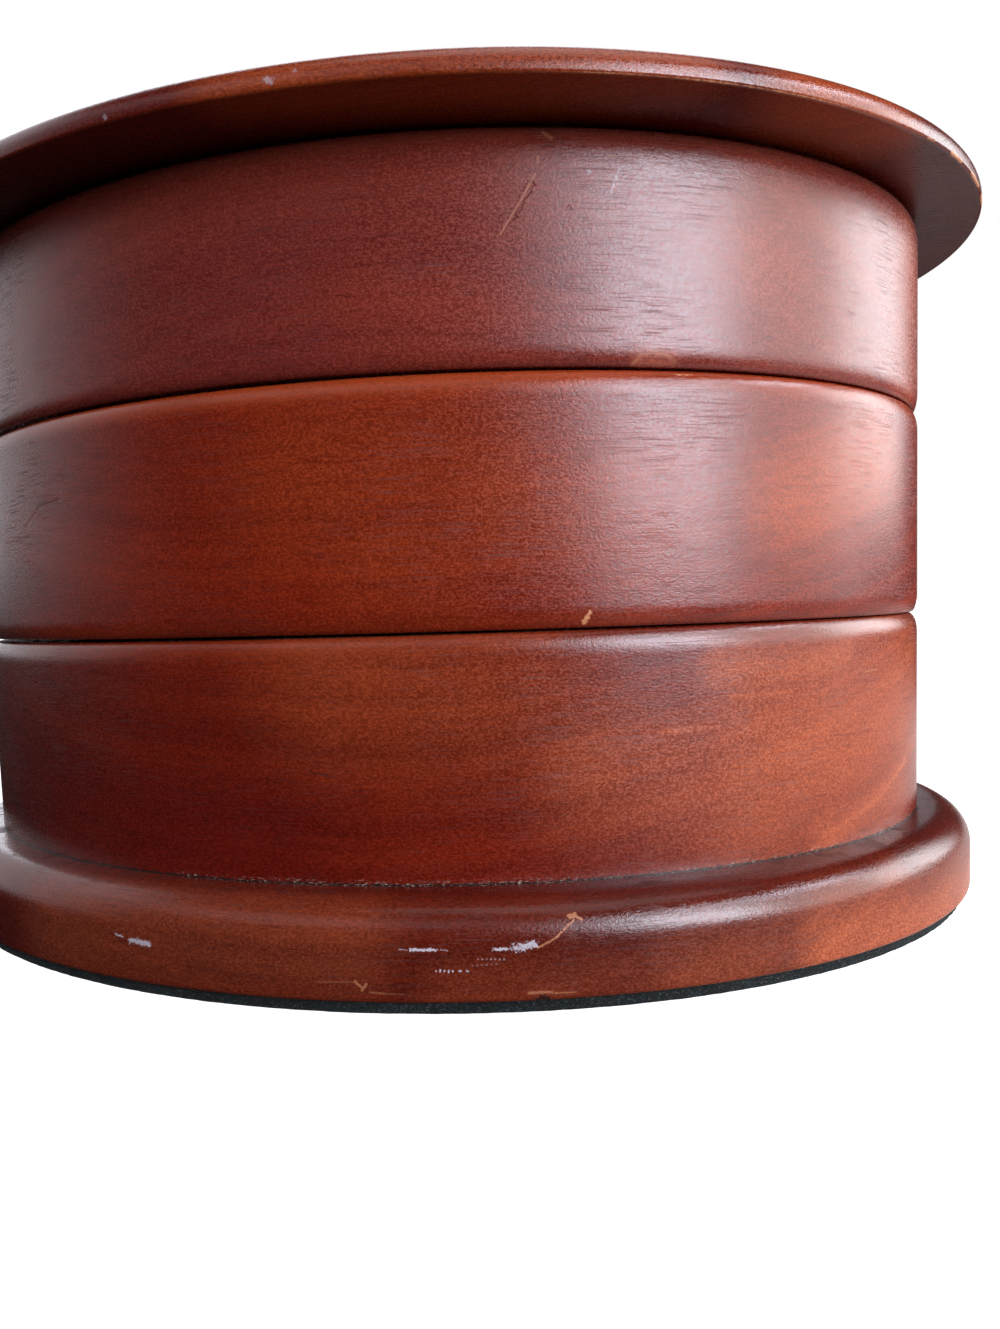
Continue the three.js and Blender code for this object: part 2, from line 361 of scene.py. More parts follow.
@dataclass(frozen=True)
class Marks:
    """The marks of one piece, and how ragged their edges are."""

    each: tuple[Mark, ...] = ()
    raggedness: float = 1.6
    chalk_raggedness: float = 2.4
    edge: Span = (0.6, 0.3)
    dot_span: Span = (0.0, 0.5)

    def masks(self, bench: Bench, place: Wire, fleck: Wire) -> dict[Worn, Wire]:
        """Returns how strongly each kind of mark shows.

        Args:
            bench: The material under work.
            place: The place in millimetres.
            fleck: Fine noise that breaks the marks' edges up.

        Returns:
            A mask for each kind.
        """
        found = {worn: fleck * 0.0 for worn in Worn}
        for mark in self.each:
            distance, share = self._distance(bench, place, mark.start, mark.end or mark.start)
            if mark.worn in (Worn.THIN_STAIN_AND_PAINTED_LIGHT, Worn.HEAVY_STAIN_AND_PAINTED_SHADE, Worn.RUBBED):
                mask = bench.step(distance, mark.width, 0.0)
            else:
                raggedness = self.chalk_raggedness if mark.worn is Worn.CHALKY else self.raggedness
                ragged = distance + fleck.centred() * (mark.width * raggedness)
                mask = bench.step(ragged, *(mark.width * edge for edge in self.edge))
            mask = mask * mark.strength
            if mark.dots:
                mask = mask * bench.step((share * (math.tau * mark.dots)).sine(), *self.dot_span)
            found[mark.worn] = found[mark.worn].at_least(mask)
        return found

    @staticmethod
    def _distance(bench: Bench, place: Wire, start: Point, end: Point) -> tuple[Wire, Wire]:
        """Returns the distance to a straight stretch.

        Args:
            bench: The material under work.
            place: The place.
            start: One end of the stretch.
            end: Its other end, or the same point for a spot.

        Returns:
            The distance, and the share of the stretch at which its nearest point lies.
        """
        line = Vector(end) - Vector(start)
        reach = bench.vector("SUBTRACT", place, start)
        if not line.length:
            return bench.number("LENGTH", reach), bench.axis(reach, "X") * 0.0
        share = bench.number("DOT_PRODUCT", reach, tuple(line / line.length_squared)).clamped()
        foot = bench.scaled(bench.vector("ADD", tuple(line)), share)
        return bench.number("LENGTH", bench.vector("SUBTRACT", reach, foot)), share


@dataclass(frozen=True)
class HandWear:
    """Edges that hands have rubbed through to bare wood."""

    wear: float = 0.0
    arris_share: float = 0.6
    broad: Noise = Noise(0.07)
    broad_share: float = 0.5
    fine: Noise = Noise(1.1, 3.0, 0.7)
    fine_share: float = 0.45
    stretch_share: float = 0.34
    span: Span = (1.28, 1.42)

    def mask(self, bench: Bench, place: Wire, arris: Wire, stretches: Wire) -> Wire:
        """Returns where the edges are rubbed through.

        Args:
            bench: The material under work.
            place: The place in millimetres.
            arris: How much a point lies on an edge.
            stretches: The stretches that hands rub most.

        Returns:
            The mask's wire.
        """
        touch = (
            arris * self.arris_share
            + bench.noise(place, self.broad) * self.broad_share
            + bench.noise(place, self.fine) * self.fine_share
            + stretches * self.stretch_share
        )
        return bench.step(touch, *(edge - self.wear for edge in self.span))


@dataclass(frozen=True)
class GluedSeam:
    """Dirt and lint in the glued joint between the bottom tray and the base."""

    dirt: Colour = GRIME
    dirt_share: float = 0.9
    dirt_edge: Noise = Noise(1.4, 3.0, 0.7)
    dirt_raggedness: float = 0.9
    dirt_span: Span = (0.62, 0.86)
    lint: Colour = (0.42, 0.33, 0.27)
    lint_share: float = 0.7
    lint_dull: float = 0.5
    lint_span: Span = (0.2, 0.7)
    spread: Noise = Noise(0.035)
    spread_span: Span = (0.42, 0.55)
    strands: Noise = Noise(2.4, 3.0, 0.8)
    strand_draw: Point = (0.5, 0.5, 1.6)
    strand_span: Span = (0.57, 0.64)

    def lay(self, bench: Bench, place: Wire, colour: Wire, gloss: Wire) -> tuple[Wire, Wire]:
        """Darkens the joint and lays dull lint in it.

        Args:
            bench: The material under work.
            place: The place in millimetres.
            colour: The wood's colour.
            gloss: The wood's roughness.

        Returns:
            The colour and the roughness.
        """
        seam = bench.attribute("seam")
        ragged = bench.noise(place, self.dirt_edge).centred() * self.dirt_raggedness
        dark = bench.step(seam + ragged, *self.dirt_span)
        colour = bench.mix(dark * self.dirt_share, colour, self.dirt)
        spread = bench.step(bench.noise(place, self.spread), *self.spread_span)
        drawn = bench.vector("MULTIPLY", place, self.strand_draw)
        strands = bench.step(bench.noise(drawn, self.strands), *self.strand_span)
        lint = bench.step(seam, *self.lint_span) * strands * spread
        return bench.mix(lint * self.lint_share, colour, self.lint), gloss + lint * self.lint_dull


@dataclass(frozen=True)
class Board:
    """One board's figure as wires: its own place, and what lies there from 0 to 1."""

    own: Wire
    fleck: Wire
    mottle: Wire
    growth: Wire
    pore: Wire
    blotch: Wire
    tone: Wire


@dataclass(frozen=True)
class Figure:
    """The figure of timber: fleck, fibre, pores, dark hairlines, blotches and growth rings."""

    seed: float
    grain: Grain = Grain.WALL
    pith_y: float = 24.0
    pith_z: float = -73.0
    board_shift: Point = (57.0, 31.0, 13.0)
    midtone: float = 0.5
    fleck: Noise = Noise(2.5, 2.0, 0.75, 0.7)
    mottle_span: Span = (0.3, 0.7)
    mottle_share: float = 0.8
    fibre: Noise = Noise(2.0, 3.0, 0.65, 0.05)
    fibre_share: float = 0.6
    blotch: Noise = Noise(0.05, 3.0, 0.6, 0.5)
    blotch_share: float = 0.4
    pores: Noise = Noise(6.0, 1.0, 0.5, 0.026)
    pore_span: Span = (0.53, 0.66)
    pore_groups: Noise = Noise(0.06)
    pore_group_span: Span = (0.42, 0.6)
    lone_pores: float = 0.2
    pore_share: float = 0.3
    hairlines: Noise = Noise(0.5, 1.0, 0.5, 0.05)
    hairline_span: Span = (0.016, 0.003)
    hairline_spread: Noise = Noise(0.11, 2.0, 0.5, 0.4)
    hairline_spread_span: Span = (0.56, 0.64)
    hairline_share: float = 0.35
    sway: Noise = Noise(0.011, 1.0)
    sway_reach: float = 9.0
    rings: Noise = Noise(0.26, 4.0, 0.65)
    ring_drift: float = 0.012
    ring_shift: float = 3.0
    growth_share: float = 0.7

    def read(self, bench: Bench, place: Wire) -> Board:
        """Works the figure out on one board.

        Args:
            bench: The material under work.
            place: The place in millimetres.

        Returns:
            The board's wires.
        """
        own = bench.vector("ADD", place, tuple(self.seed * shift for shift in self.board_shift))
        fleck = self.drawn(bench, own, self.fleck)
        mottle = bench.step(fleck, *self.mottle_span)
        growth = self._growth(bench, place)
        fibre = self.drawn(bench, own, self.fibre)
        pore = self._pore(bench, own)
        blotch = self.drawn(bench, own, self.blotch)
        tone = (
            self.midtone
            + mottle.centred() * self.mottle_share
            + growth.centred() * self.growth_share
            + fibre.centred() * self.fibre_share
            + blotch.centred() * self.blotch_share
            - pore * self.pore_share
            - self._hairline(bench, own) * self.hairline_share
        )
        return Board(own, fleck, mottle, growth, pore, blotch, tone.clamped())

    def drawn(self, bench: Bench, own: Wire, noise: Noise) -> Wire:
        """Returns noise that is drawn out with the grain."""
        shares = tuple(noise.drawn if along else 1.0 for along in self.grain.value)
        return bench.noise(bench.vector("MULTIPLY", own, shares), noise)

    def _pore(self, bench: Bench, own: Wire) -> Wire:
        """Returns the open pores, short dashes that lie in groups.

        Args:
            bench: The material under work.
            own: The place, shifted so that each board differs.

        Returns:
            The mask's wire.
        """
        grouped = bench.step(bench.noise(own, self.pore_groups), *self.pore_group_span)
        dashes = bench.step(self.drawn(bench, own, self.pores), *self.pore_span)
        return dashes * (self.lone_pores + grouped * (1 - self.lone_pores))

    def _growth(self, bench: Bench, place: Wire) -> Wire:
        """Returns the growth rings about a pith that lies along the box.

        Args:
            bench: The material under work.
            place: The place in millimetres.

        Returns:
            The rings' wire, from 0 to 1.
        """
        bend = bench.noise(place, self.sway, "Color")
        swayed = bench.vector("ADD", place, bench.scaled(bend, self.sway_reach))
        reach = bench.vector("SUBTRACT", swayed, (0.0, self.pith_y, self.pith_z))
        radius = bench.number("LENGTH", bench.vector("MULTIPLY", reach, (0.0, 1.0, 1.0)))
        along = bench.axis(swayed, "X") * self.ring_drift + self.seed
        inputs = {0: along, 1: radius, 2: self.seed * self.ring_shift}
        return bench.noise(bench.node("ShaderNodeCombineXYZ", {}, inputs), self.rings)

    def _hairline(self, bench: Bench, own: Wire) -> Wire:
        """Returns the few fine dark lines that run with the grain.

        Args:
            bench: The material under work.
            own: The place, shifted so that each board differs.

        Returns:
            The mask's wire.
        """
        near = self.drawn(bench, own, self.hairlines).centred().size()
        spread = self.drawn(bench, own, self.hairline_spread)
        return bench.step(near, *self.hairline_span) * bench.step(spread, *self.hairline_spread_span)


@dataclass(frozen=True)
class StainedWood(Finish):
    """Red-brown stained timber under satin lacquer, its grain along the box."""

    figure: Figure
    deep: Colour = (0.14, 0.0065, 0.0028)
    warm: Colour = (0.26, 0.020, 0.0030)
    warmth: float = 0.5
    # Scales the stain's colours: the piece's own tone, and painted shade, darker for the pieces low in the
    # stack and for the lid with its shaded underside.
    lightness_and_painted_shade: float = 1.0
    roughness: float = 0.24
    thin: Colour = (0.40, 0.075, 0.018)
    bare: Colour = (0.52, 0.22, 0.10)
    chalk: Colour = (0.46, 0.42, 0.46)
    dirt: Colour = GRIME
    dark_shade: Colour = (0.60, 0.48, 0.50)
    light_shade: Colour = (1.40, 1.60, 1.50)
    wear: HandWear = HandWear()
    edge_tint: float = 1.0
    dull_from: float | None = None
    dull_rise: float = 0.8
    dullness: float = 0.46
    seam: GluedSeam | None = None
    marks: Marks = Marks()
    drift: Noise = Noise(0.03, 3.0, 0.6, 0.45)
    drift_warmth: float = 0.9
    growth_warmth: float = 0.7
    # How far the warm and deep patches shift the stain: thin and heavy stain, and also painted light and
    # painted shade.
    warm_patch_and_painted_light: float = 0.7
    deep_patch_and_painted_shade: float = 0.8
    thin_patch_and_painted_light: float = 0.52
    thin_edge_least: float = 0.15
    thin_edge_blotch: float = 0.4
    dirt_share: float = 0.9
    mottle_dull: float = 0.16
    pore_dull: float = 0.26
    bare_dull: float = 0.25
    edge_polish: float = 0.11
    peel: Noise = Noise(0.42, 1.0)
    fleck_relief: float = 0.05
    peel_relief: float = 0.01
    pore_depth: float = 0.004
    dent_depth: float = 0.14
    specular: float = 0.5

    def shade(self, bench: Bench) -> dict[str, object]:
        """Works out the wood's colour, gloss and relief.

        Args:
            bench: The material under work.

        Returns:
            The shader's inputs.
        """
        place = bench.place_mm()
        board = self.figure.read(bench, place)
        masks = self.marks.masks(bench, place, board.fleck)
        arris = bench.attribute("arris")
        rubbed = self.wear.mask(bench, place, arris, masks[Worn.RUBBED])
        bare = rubbed.at_least(masks[Worn.BARE]).at_most(1.0)
        colour = self._colour(bench, board, masks, arris, bare)
        gloss = (
            self.roughness
            + board.mottle.centred() * self.mottle_dull
            + board.pore * self.pore_dull
            + bare * self.bare_dull
            - arris * self.edge_polish
        )
        if self.dull_from is not None:
            high = bench.step(bench.axis(place, "Z"), self.dull_from, self.dull_from + self.dull_rise)
            gloss = gloss + high * self.dullness
        if self.seam:
            colour, gloss = self.seam.lay(bench, place, colour, gloss)
        height = (
            board.fleck.centred() * self.fleck_relief
            + bench.noise(place, self.peel).centred() * self.peel_relief
            - board.pore * self.pore_depth
            - masks[Worn.DENT] * self.dent_depth
        )
        return {
            "Base Color": colour,
            "Roughness": gloss,
            "Normal": bench.bump(height),
            "Specular IOR Level": self.specular,
        }

    def _colour(
        self, bench: Bench, board: Board, masks: dict[Worn, Wire], arris: Wire, bare: Wire
    ) -> Wire:
        """Returns the wood's colour with its thin edges and its marks.

        Args:
            bench: The material under work.
            board: The board's figure.
            masks: The marks and patches.
            arris: How much a point lies on an edge.
            bare: Where the wood is bare.

        Returns:
            The colour's wire.
        """
        shade = bench.mix(board.tone, self.dark_shade, self.light_shade)
        stain = bench.mix(1.0, self._stain(bench, board, masks), shade, "MULTIPLY")
        thinned = arris * (self.thin_edge_least + board.blotch * self.thin_edge_blotch)
        colour = bench.mix(thinned * self.edge_tint, stain, self.thin)
        colour = bench.mix(bare, colour, self.bare)
        colour = bench.mix(masks[Worn.CHALKY], colour, self.chalk)
        return bench.mix(masks[Worn.DIRT] * self.dirt_share, colour, self.dirt)

    def _stain(self, bench: Bench, board: Board, masks: dict[Worn, Wire]) -> Wire:
        """Returns the stain's colour, which drifts between warm and deep.

        Args:
            bench: The material under work.
            board: The board's figure.
            masks: The patches of thin and heavy stain, among them painted light and painted shade.

        Returns:
            The colour's wire.
        """
        drift = self.figure.drawn(bench, board.own, self.drift)
        # The warm and deep patches move the stain lighter and darker: thin and heavy stain, and also painted
        # light and painted shade.
        warmth = (
            self.warmth
            + drift.centred() * self.drift_warmth
            + board.growth.centred() * self.growth_warmth
            + masks[Worn.THIN_STAIN_AND_PAINTED_LIGHT] * self.warm_patch_and_painted_light
            - masks[Worn.HEAVY_STAIN_AND_PAINTED_SHADE] * self.deep_patch_and_painted_shade
        )
        # The lightness darkens the stain: painted shade on the lower pieces and the lid.
        deep = tuple(value * self.lightness_and_painted_shade for value in self.deep)
        warm = tuple(value * self.lightness_and_painted_shade for value in self.warm)
        stain = bench.mix(warmth.clamped(), deep, warm)
        # Warm patches also thin the stain towards its light colour: thin stain, and painted light.
        return bench.mix(masks[Worn.THIN_STAIN_AND_PAINTED_LIGHT] * self.thin_patch_and_painted_light, stain, self.thin)


@dataclass(frozen=True)
class Pile(Finish):
    """Velvet or felt: short fibres that catch light at a grazing angle."""

    colour: Colour
    lint: Colour
    fibre_scale: float
    relief: float
    sheen: float
    lint_share: float
    brushed: Noise = Noise(0.09, 3.0, 0.6)
    brushed_share: float = 0.5
    brushed_relief: float = 0.6
    tuft_share: float = 0.6
    tuft_dull: float = 0.2
    shade_span: Span = (0.3, 0.8)
    shade_share: float = 0.55
    strands: Noise = Noise(3.0, 2.0, 0.7)
    strand_draw: Point = (0.7, 0.7, 3.0)
    strand_span: Span = (0.74, 0.84)
    strand_cover: float = 0.6
    roughness: float = 0.86
    sheen_roughness: float = 0.4
    specular: float = 0.15

    def shade(self, bench: Bench) -> dict[str, object]:
        """Works out the pile's colour and relief.

        Args:
            bench: The material under work.

        Returns:
            The shader's inputs.
        """
        place = bench.place_mm()
        tuft = bench.noise(place, Noise(self.fibre_scale, 3.0, 0.7))
        brushed = bench.noise(place, self.brushed)
        strands = bench.noise(bench.vector("MULTIPLY", place, self.strand_draw), self.strands)
        lint = bench.step(strands, *(edge - self.lint_share for edge in self.strand_span))
        depth = bench.step(tuft * self.tuft_share + brushed * self.brushed_share, *self.shade_span)
        shade = bench.mix(depth, BLACK, WHITE)
        relief = tuft.centred() + brushed.centred() * self.brushed_relief
        colour = bench.mix(1.0, bench.mix(self.shade_share, WHITE, shade), self.colour, "MULTIPLY")
        return {
            "Base Color": bench.mix(lint * self.strand_cover, colour, self.lint),
            "Roughness": self.roughness + tuft.centred() * self.tuft_dull,
            "Normal": bench.bump(relief * self.relief),
            "Sheen Weight": self.sheen,
            "Sheen Roughness": self.sheen_roughness,
            "Sheen Tint": (*self.lint, 1.0),
            "Specular IOR Level": self.specular,
        }


@dataclass(frozen=True)
class TurnedMetal(Finish):
    """Zinc-plated steel with fine turning lines about the pivot."""

    colour: Colour = (0.62, 0.62, 0.63)
    tarnish: Colour = (0.42, 0.41, 0.39)
    roughness: float = 0.3
    cloud: Noise = Noise(0.4, 3.0, 0.6)
    cloud_tarnish: float = 0.3
    cloud_dull: float = 0.1
    cloud_relief: float = 0.006
    stains: Noise = Noise(0.15, 3.0)
    stain_span: Span = (0.4, 0.7)
    stain_tarnish: float = 0.35
    stain_dull: float = 0.15
    lines_outward: float = 22.0
    lines_upward: float = 18.0
    line_depth: float = 0.004

    def shade(self, bench: Bench) -> dict[str, object]:
        """Works out the metal's colour, gloss and relief.

        Args:
            bench: The material under work.

        Returns:
            The shader's inputs.
        """
        place = bench.place_mm()
        centre = tuple(value / MM for value in PLAN.pivot)
        from_axis = bench.vector("MULTIPLY", bench.vector("SUBTRACT", place, centre), (1.0, 1.0, 0.0))
        radius = bench.number("LENGTH", from_axis)
        lines = (radius * self.lines_outward + bench.axis(place, "Z") * self.lines_upward).sine()
        cloud = bench.noise(place, self.cloud)
        stain = bench.step(bench.noise(place, self.stains), *self.stain_span)
        tarnish = stain * self.stain_tarnish + cloud.centred() * self.cloud_tarnish
        return {
            "Base Color": bench.mix(tarnish, self.colour, self.tarnish),
            "Metallic": 1.0,
            "Roughness": self.roughness + stain * self.stain_dull + cloud.centred() * self.cloud_dull,
            "Normal": bench.bump(lines * self.line_depth + cloud * self.cloud_relief),
        }


@dataclass(frozen=True)
class MouldedNylon(Finish):
    """Milky nylon with a faint bloom."""

    colour: Colour = (0.74, 0.71, 0.63)
    bloom: Colour = (0.6, 0.56, 0.47)
    roughness: float = 0.42
    cloud: Noise = Noise(0.3, 3.0, 0.6)
    bloom_span: Span = (0.3, 0.75)
    grain: Noise = Noise(4.0)
    grain_dull: float = 0.15
    grain_relief: float = 0.01
    milkiness: float = 0.1

    def shade(self, bench: Bench) -> dict[str, object]:
        """Works out the nylon's colour, gloss and relief.

        Args:
            bench: The material under work.

        Returns:
            The shader's inputs.
        """
        place = bench.place_mm()
        cloud = bench.noise(place, self.cloud)
        grain = bench.noise(place, self.grain)
        return {
            "Base Color": bench.mix(bench.step(cloud, *self.bloom_span), self.colour, self.bloom),
            "Roughness": self.roughness + grain.centred() * self.grain_dull,
            "Normal": bench.bump(grain.centred() * self.grain_relief),
            "Subsurface Weight": self.milkiness,
        }


# Marks and stain patches, among them painted light and painted shade

TOP_TRAY_MARKS = (
    Mark(Worn.BARE, 0.34, 0.34, (35.9, -75.1, 138.8), (33.4, -75.6, 134.6)),
    Mark(Worn.BARE, 0.34, 0.3, (33.4, -75.6, 134.6), (29.9, -76.3, 129.2)),
    Mark(Worn.DENT, 1.3, 0.7, (35.0, -75.3, 137.0), (31.5, -76.0, 131.5)),
    Mark(Worn.BARE, 0.4, 0.35, (36.4, -75.0, 141.6), (36.4, -75.0, 140.6)),
    Mark(Worn.CHALKY, 0.35, 0.45, (49.6, -71.4, 139.9), (48.2, -71.9, 135.9)),
    Mark(Worn.BARE, 0.28, 0.3, (48.0, -72.0, 140.6), (47.2, -72.3, 137.6)),
    Mark(Worn.BARE, 0.3, 0.3, (47.5, -72.1, 141.7), (49.3, -71.5, 141.9)),
    Mark(Worn.CHALKY, 0.6, 0.4, (44.8, -72.9, 139.4)),
    Mark(Worn.DENT, 0.9, 0.4, (41.2, -73.8, 133.4)),
    Mark(Worn.DIRT, 0.6, 0.35, (41.2, -73.8, 133.4)),
    Mark(Worn.DIRT, 0.55, 0.9, (53.5, -70.1, 112.3)),
    Mark(Worn.DENT, 1.8, 0.8, (37.1, -74.4, 145.5), (39.1, -74.4, 144.2)),
    Mark(Worn.BARE, 0.7, 0.35, (37.3, -74.4, 145.6), (38.6, -74.4, 144.6)),
    Mark(Worn.BARE, 0.8, 0.28, (51.1, -70.1, 108.1), (52.4, -70.0, 109.5)),
    Mark(Worn.BARE, 0.6, 0.22, (52.4, -70.0, 109.5), (54.6, -69.5, 110.1)),
    Mark(Worn.BARE, 0.6, 0.22, (54.6, -69.5, 110.1), (57.2, -68.6, 109.5)),
    Mark(Worn.BARE, 0.6, 0.2, (57.2, -68.6, 109.5), (58.5, -67.8, 108.6)),
    Mark(Worn.THIN_STAIN_AND_PAINTED_LIGHT, 3.5, 0.9, (53.0, -69.8, 108.8), (57.0, -68.5, 108.8)),
    Mark(Worn.THIN_STAIN_AND_PAINTED_LIGHT, 14.0, 0.25, (74.0, -61.0, 127.0), (76.0, -60.0, 137.0)),
    # Warm patch at the right-hand end: thin stain, and painted light where the light falls.
    Mark(Worn.THIN_STAIN_AND_PAINTED_LIGHT, 15.0, 0.7, (108.0, -28.0, 113.0), (108.0, -28.0, 139.0)),
    # Broad deep patch on the left: painted shade.
    Mark(Worn.HEAVY_STAIN_AND_PAINTED_SHADE, 40.0, 0.5, (-40.0, -74.0, 113.0), (-20.0, -77.0, 113.0)),
)
MIDDLE_TRAY_MARKS = (
    Mark(Worn.BARE, 0.9, 0.9, (41.9, -73.2, 64.4), (42.5, -73.3, 65.2)),
    Mark(Worn.BARE, 0.6, 0.8, (42.5, -73.3, 65.2), (43.0, -73.3, 66.1)),
    Mark(Worn.BARE, 0.5, 0.8, (58.5, -67.6, 106.6), (61.5, -66.3, 106.7)),
    Mark(Worn.THIN_STAIN_AND_PAINTED_LIGHT, 24.0, 0.4, (30.0, -77.0, 86.0), (52.0, -70.7, 82.0)),
    Mark(Worn.DENT, 0.8, 0.6, (-72.3, -61.8, 86.6), (-66.4, -64.8, 90.1)),
    Mark(Worn.DENT, 0.8, 0.6, (-66.4, -64.8, 90.1), (-59.8, -67.7, 91.0)),
    Mark(Worn.THIN_STAIN_AND_PAINTED_LIGHT, 26.0, 0.25, (-4.0, -79.0, 91.0), (34.0, -76.0, 95.0)),
    Mark(Worn.THIN_STAIN_AND_PAINTED_LIGHT, 20.0, 0.25, (8.0, -79.0, 79.0), (20.0, -78.0, 77.0)),
    # Broad warm patch on the right: thin stain, and painted light where the light falls.
    Mark(Worn.THIN_STAIN_AND_PAINTED_LIGHT, 16.0, 0.8, (78.0, -58.0, 85.0), (98.0, -42.0, 93.0)),
    # Deep band along the foot, next to the seam: darker there.
    Mark(Worn.HEAVY_STAIN_AND_PAINTED_SHADE, 7.0, 0.5, (-30.0, -76.0, 64.0), (66.0, -65.0, 64.0)),
)
BOTTOM_TRAY_MARKS = (
    Mark(Worn.THIN_STAIN_AND_PAINTED_LIGHT, 1.3, 0.9, (54.9, -69.6, 44.5), (65.1, -65.4, 44.9)),
    Mark(Worn.THIN_STAIN_AND_PAINTED_LIGHT, 1.3, 0.9, (67.4, -64.3, 49.8), (78.9, -58.1, 50.0)),
    Mark(Worn.THIN_STAIN_AND_PAINTED_LIGHT, 1.6, 1.0, (78.4, -58.3, 39.9), (96.6, -43.6, 41.9)),
    Mark(Worn.BARE, 0.35, 0.3, (95.0, -45.3, 52.3), (98.1, -42.2, 52.5)),
    Mark(Worn.THIN_STAIN_AND_PAINTED_LIGHT, 2.2, 1.0, (86.3, -52.9, 22.0), (97.5, -42.8, 25.8)),
    Mark(Worn.THIN_STAIN_AND_PAINTED_LIGHT, 2.0, 1.0, (97.5, -42.8, 25.8), (106.9, -31.0, 32.2)),
    Mark(Worn.THIN_STAIN_AND_PAINTED_LIGHT, 1.0, 0.8, (100.6, -38.8, 49.4), (110.6, -23.8, 50.2)),
    Mark(Worn.DIRT, 0.35, 0.5, (-7.0, -78.9, 39.5), (-1.5, -79.0, 38.1)),
    Mark(Worn.DIRT, 0.35, 0.4, (-22.3, -77.5, 29.2), (-18.6, -78.0, 28.8)),
    Mark(Worn.BARE, 0.5, 0.5, (-91.7, -48.4, 33.9), (-91.5, -48.6, 31.6)),
    Mark(Worn.THIN_STAIN_AND_PAINTED_LIGHT, 8.0, 0.8, (66.0, -65.0, 54.5), (90.0, -50.0, 55.5)),
    # Deep band along the rim, under the middle tray's foot: darker there.
    Mark(Worn.HEAVY_STAIN_AND_PAINTED_SHADE, 5.0, 0.9, (40.0, -75.0, 62.5), (84.0, -54.0, 62.5)),
    Mark(Worn.HEAVY_STAIN_AND_PAINTED_SHADE, 5.0, 0.9, (84.0, -54.0, 62.5), (114.0, -18.0, 62.5)),
    # Warm patch at the right-hand end: thin stain, and painted light where the light falls.
    Mark(Worn.THIN_STAIN_AND_PAINTED_LIGHT, 13.0, 0.7, (108.0, -29.0, 50.0), (109.0, -27.0, 55.0)),
    Mark(Worn.THIN_STAIN_AND_PAINTED_LIGHT, 12.0, 0.7, (86.0, -53.0, 23.0), (104.0, -34.0, 28.0)),
    Mark(Worn.THIN_STAIN_AND_PAINTED_LIGHT, 26.0, 0.3, (0.0, -79.0, 55.0), (32.0, -76.0, 51.0)),
    Mark(Worn.THIN_STAIN_AND_PAINTED_LIGHT, 22.0, 0.5, (44.0, -73.0, 40.0), (66.0, -65.0, 36.0)),
    # Broad deep patch on the left: painted shade.
    Mark(Worn.HEAVY_STAIN_AND_PAINTED_SHADE, 34.0, 0.7, (-70.0, -62.0, 31.0), (-20.0, -77.0, 25.0)),
    # Broad warm patch on the right: thin stain, and painted light where the light falls.
    Mark(Worn.THIN_STAIN_AND_PAINTED_LIGHT, 32.0, 0.75, (74.0, -61.0, 37.0), (106.0, -32.0, 45.0)),
)
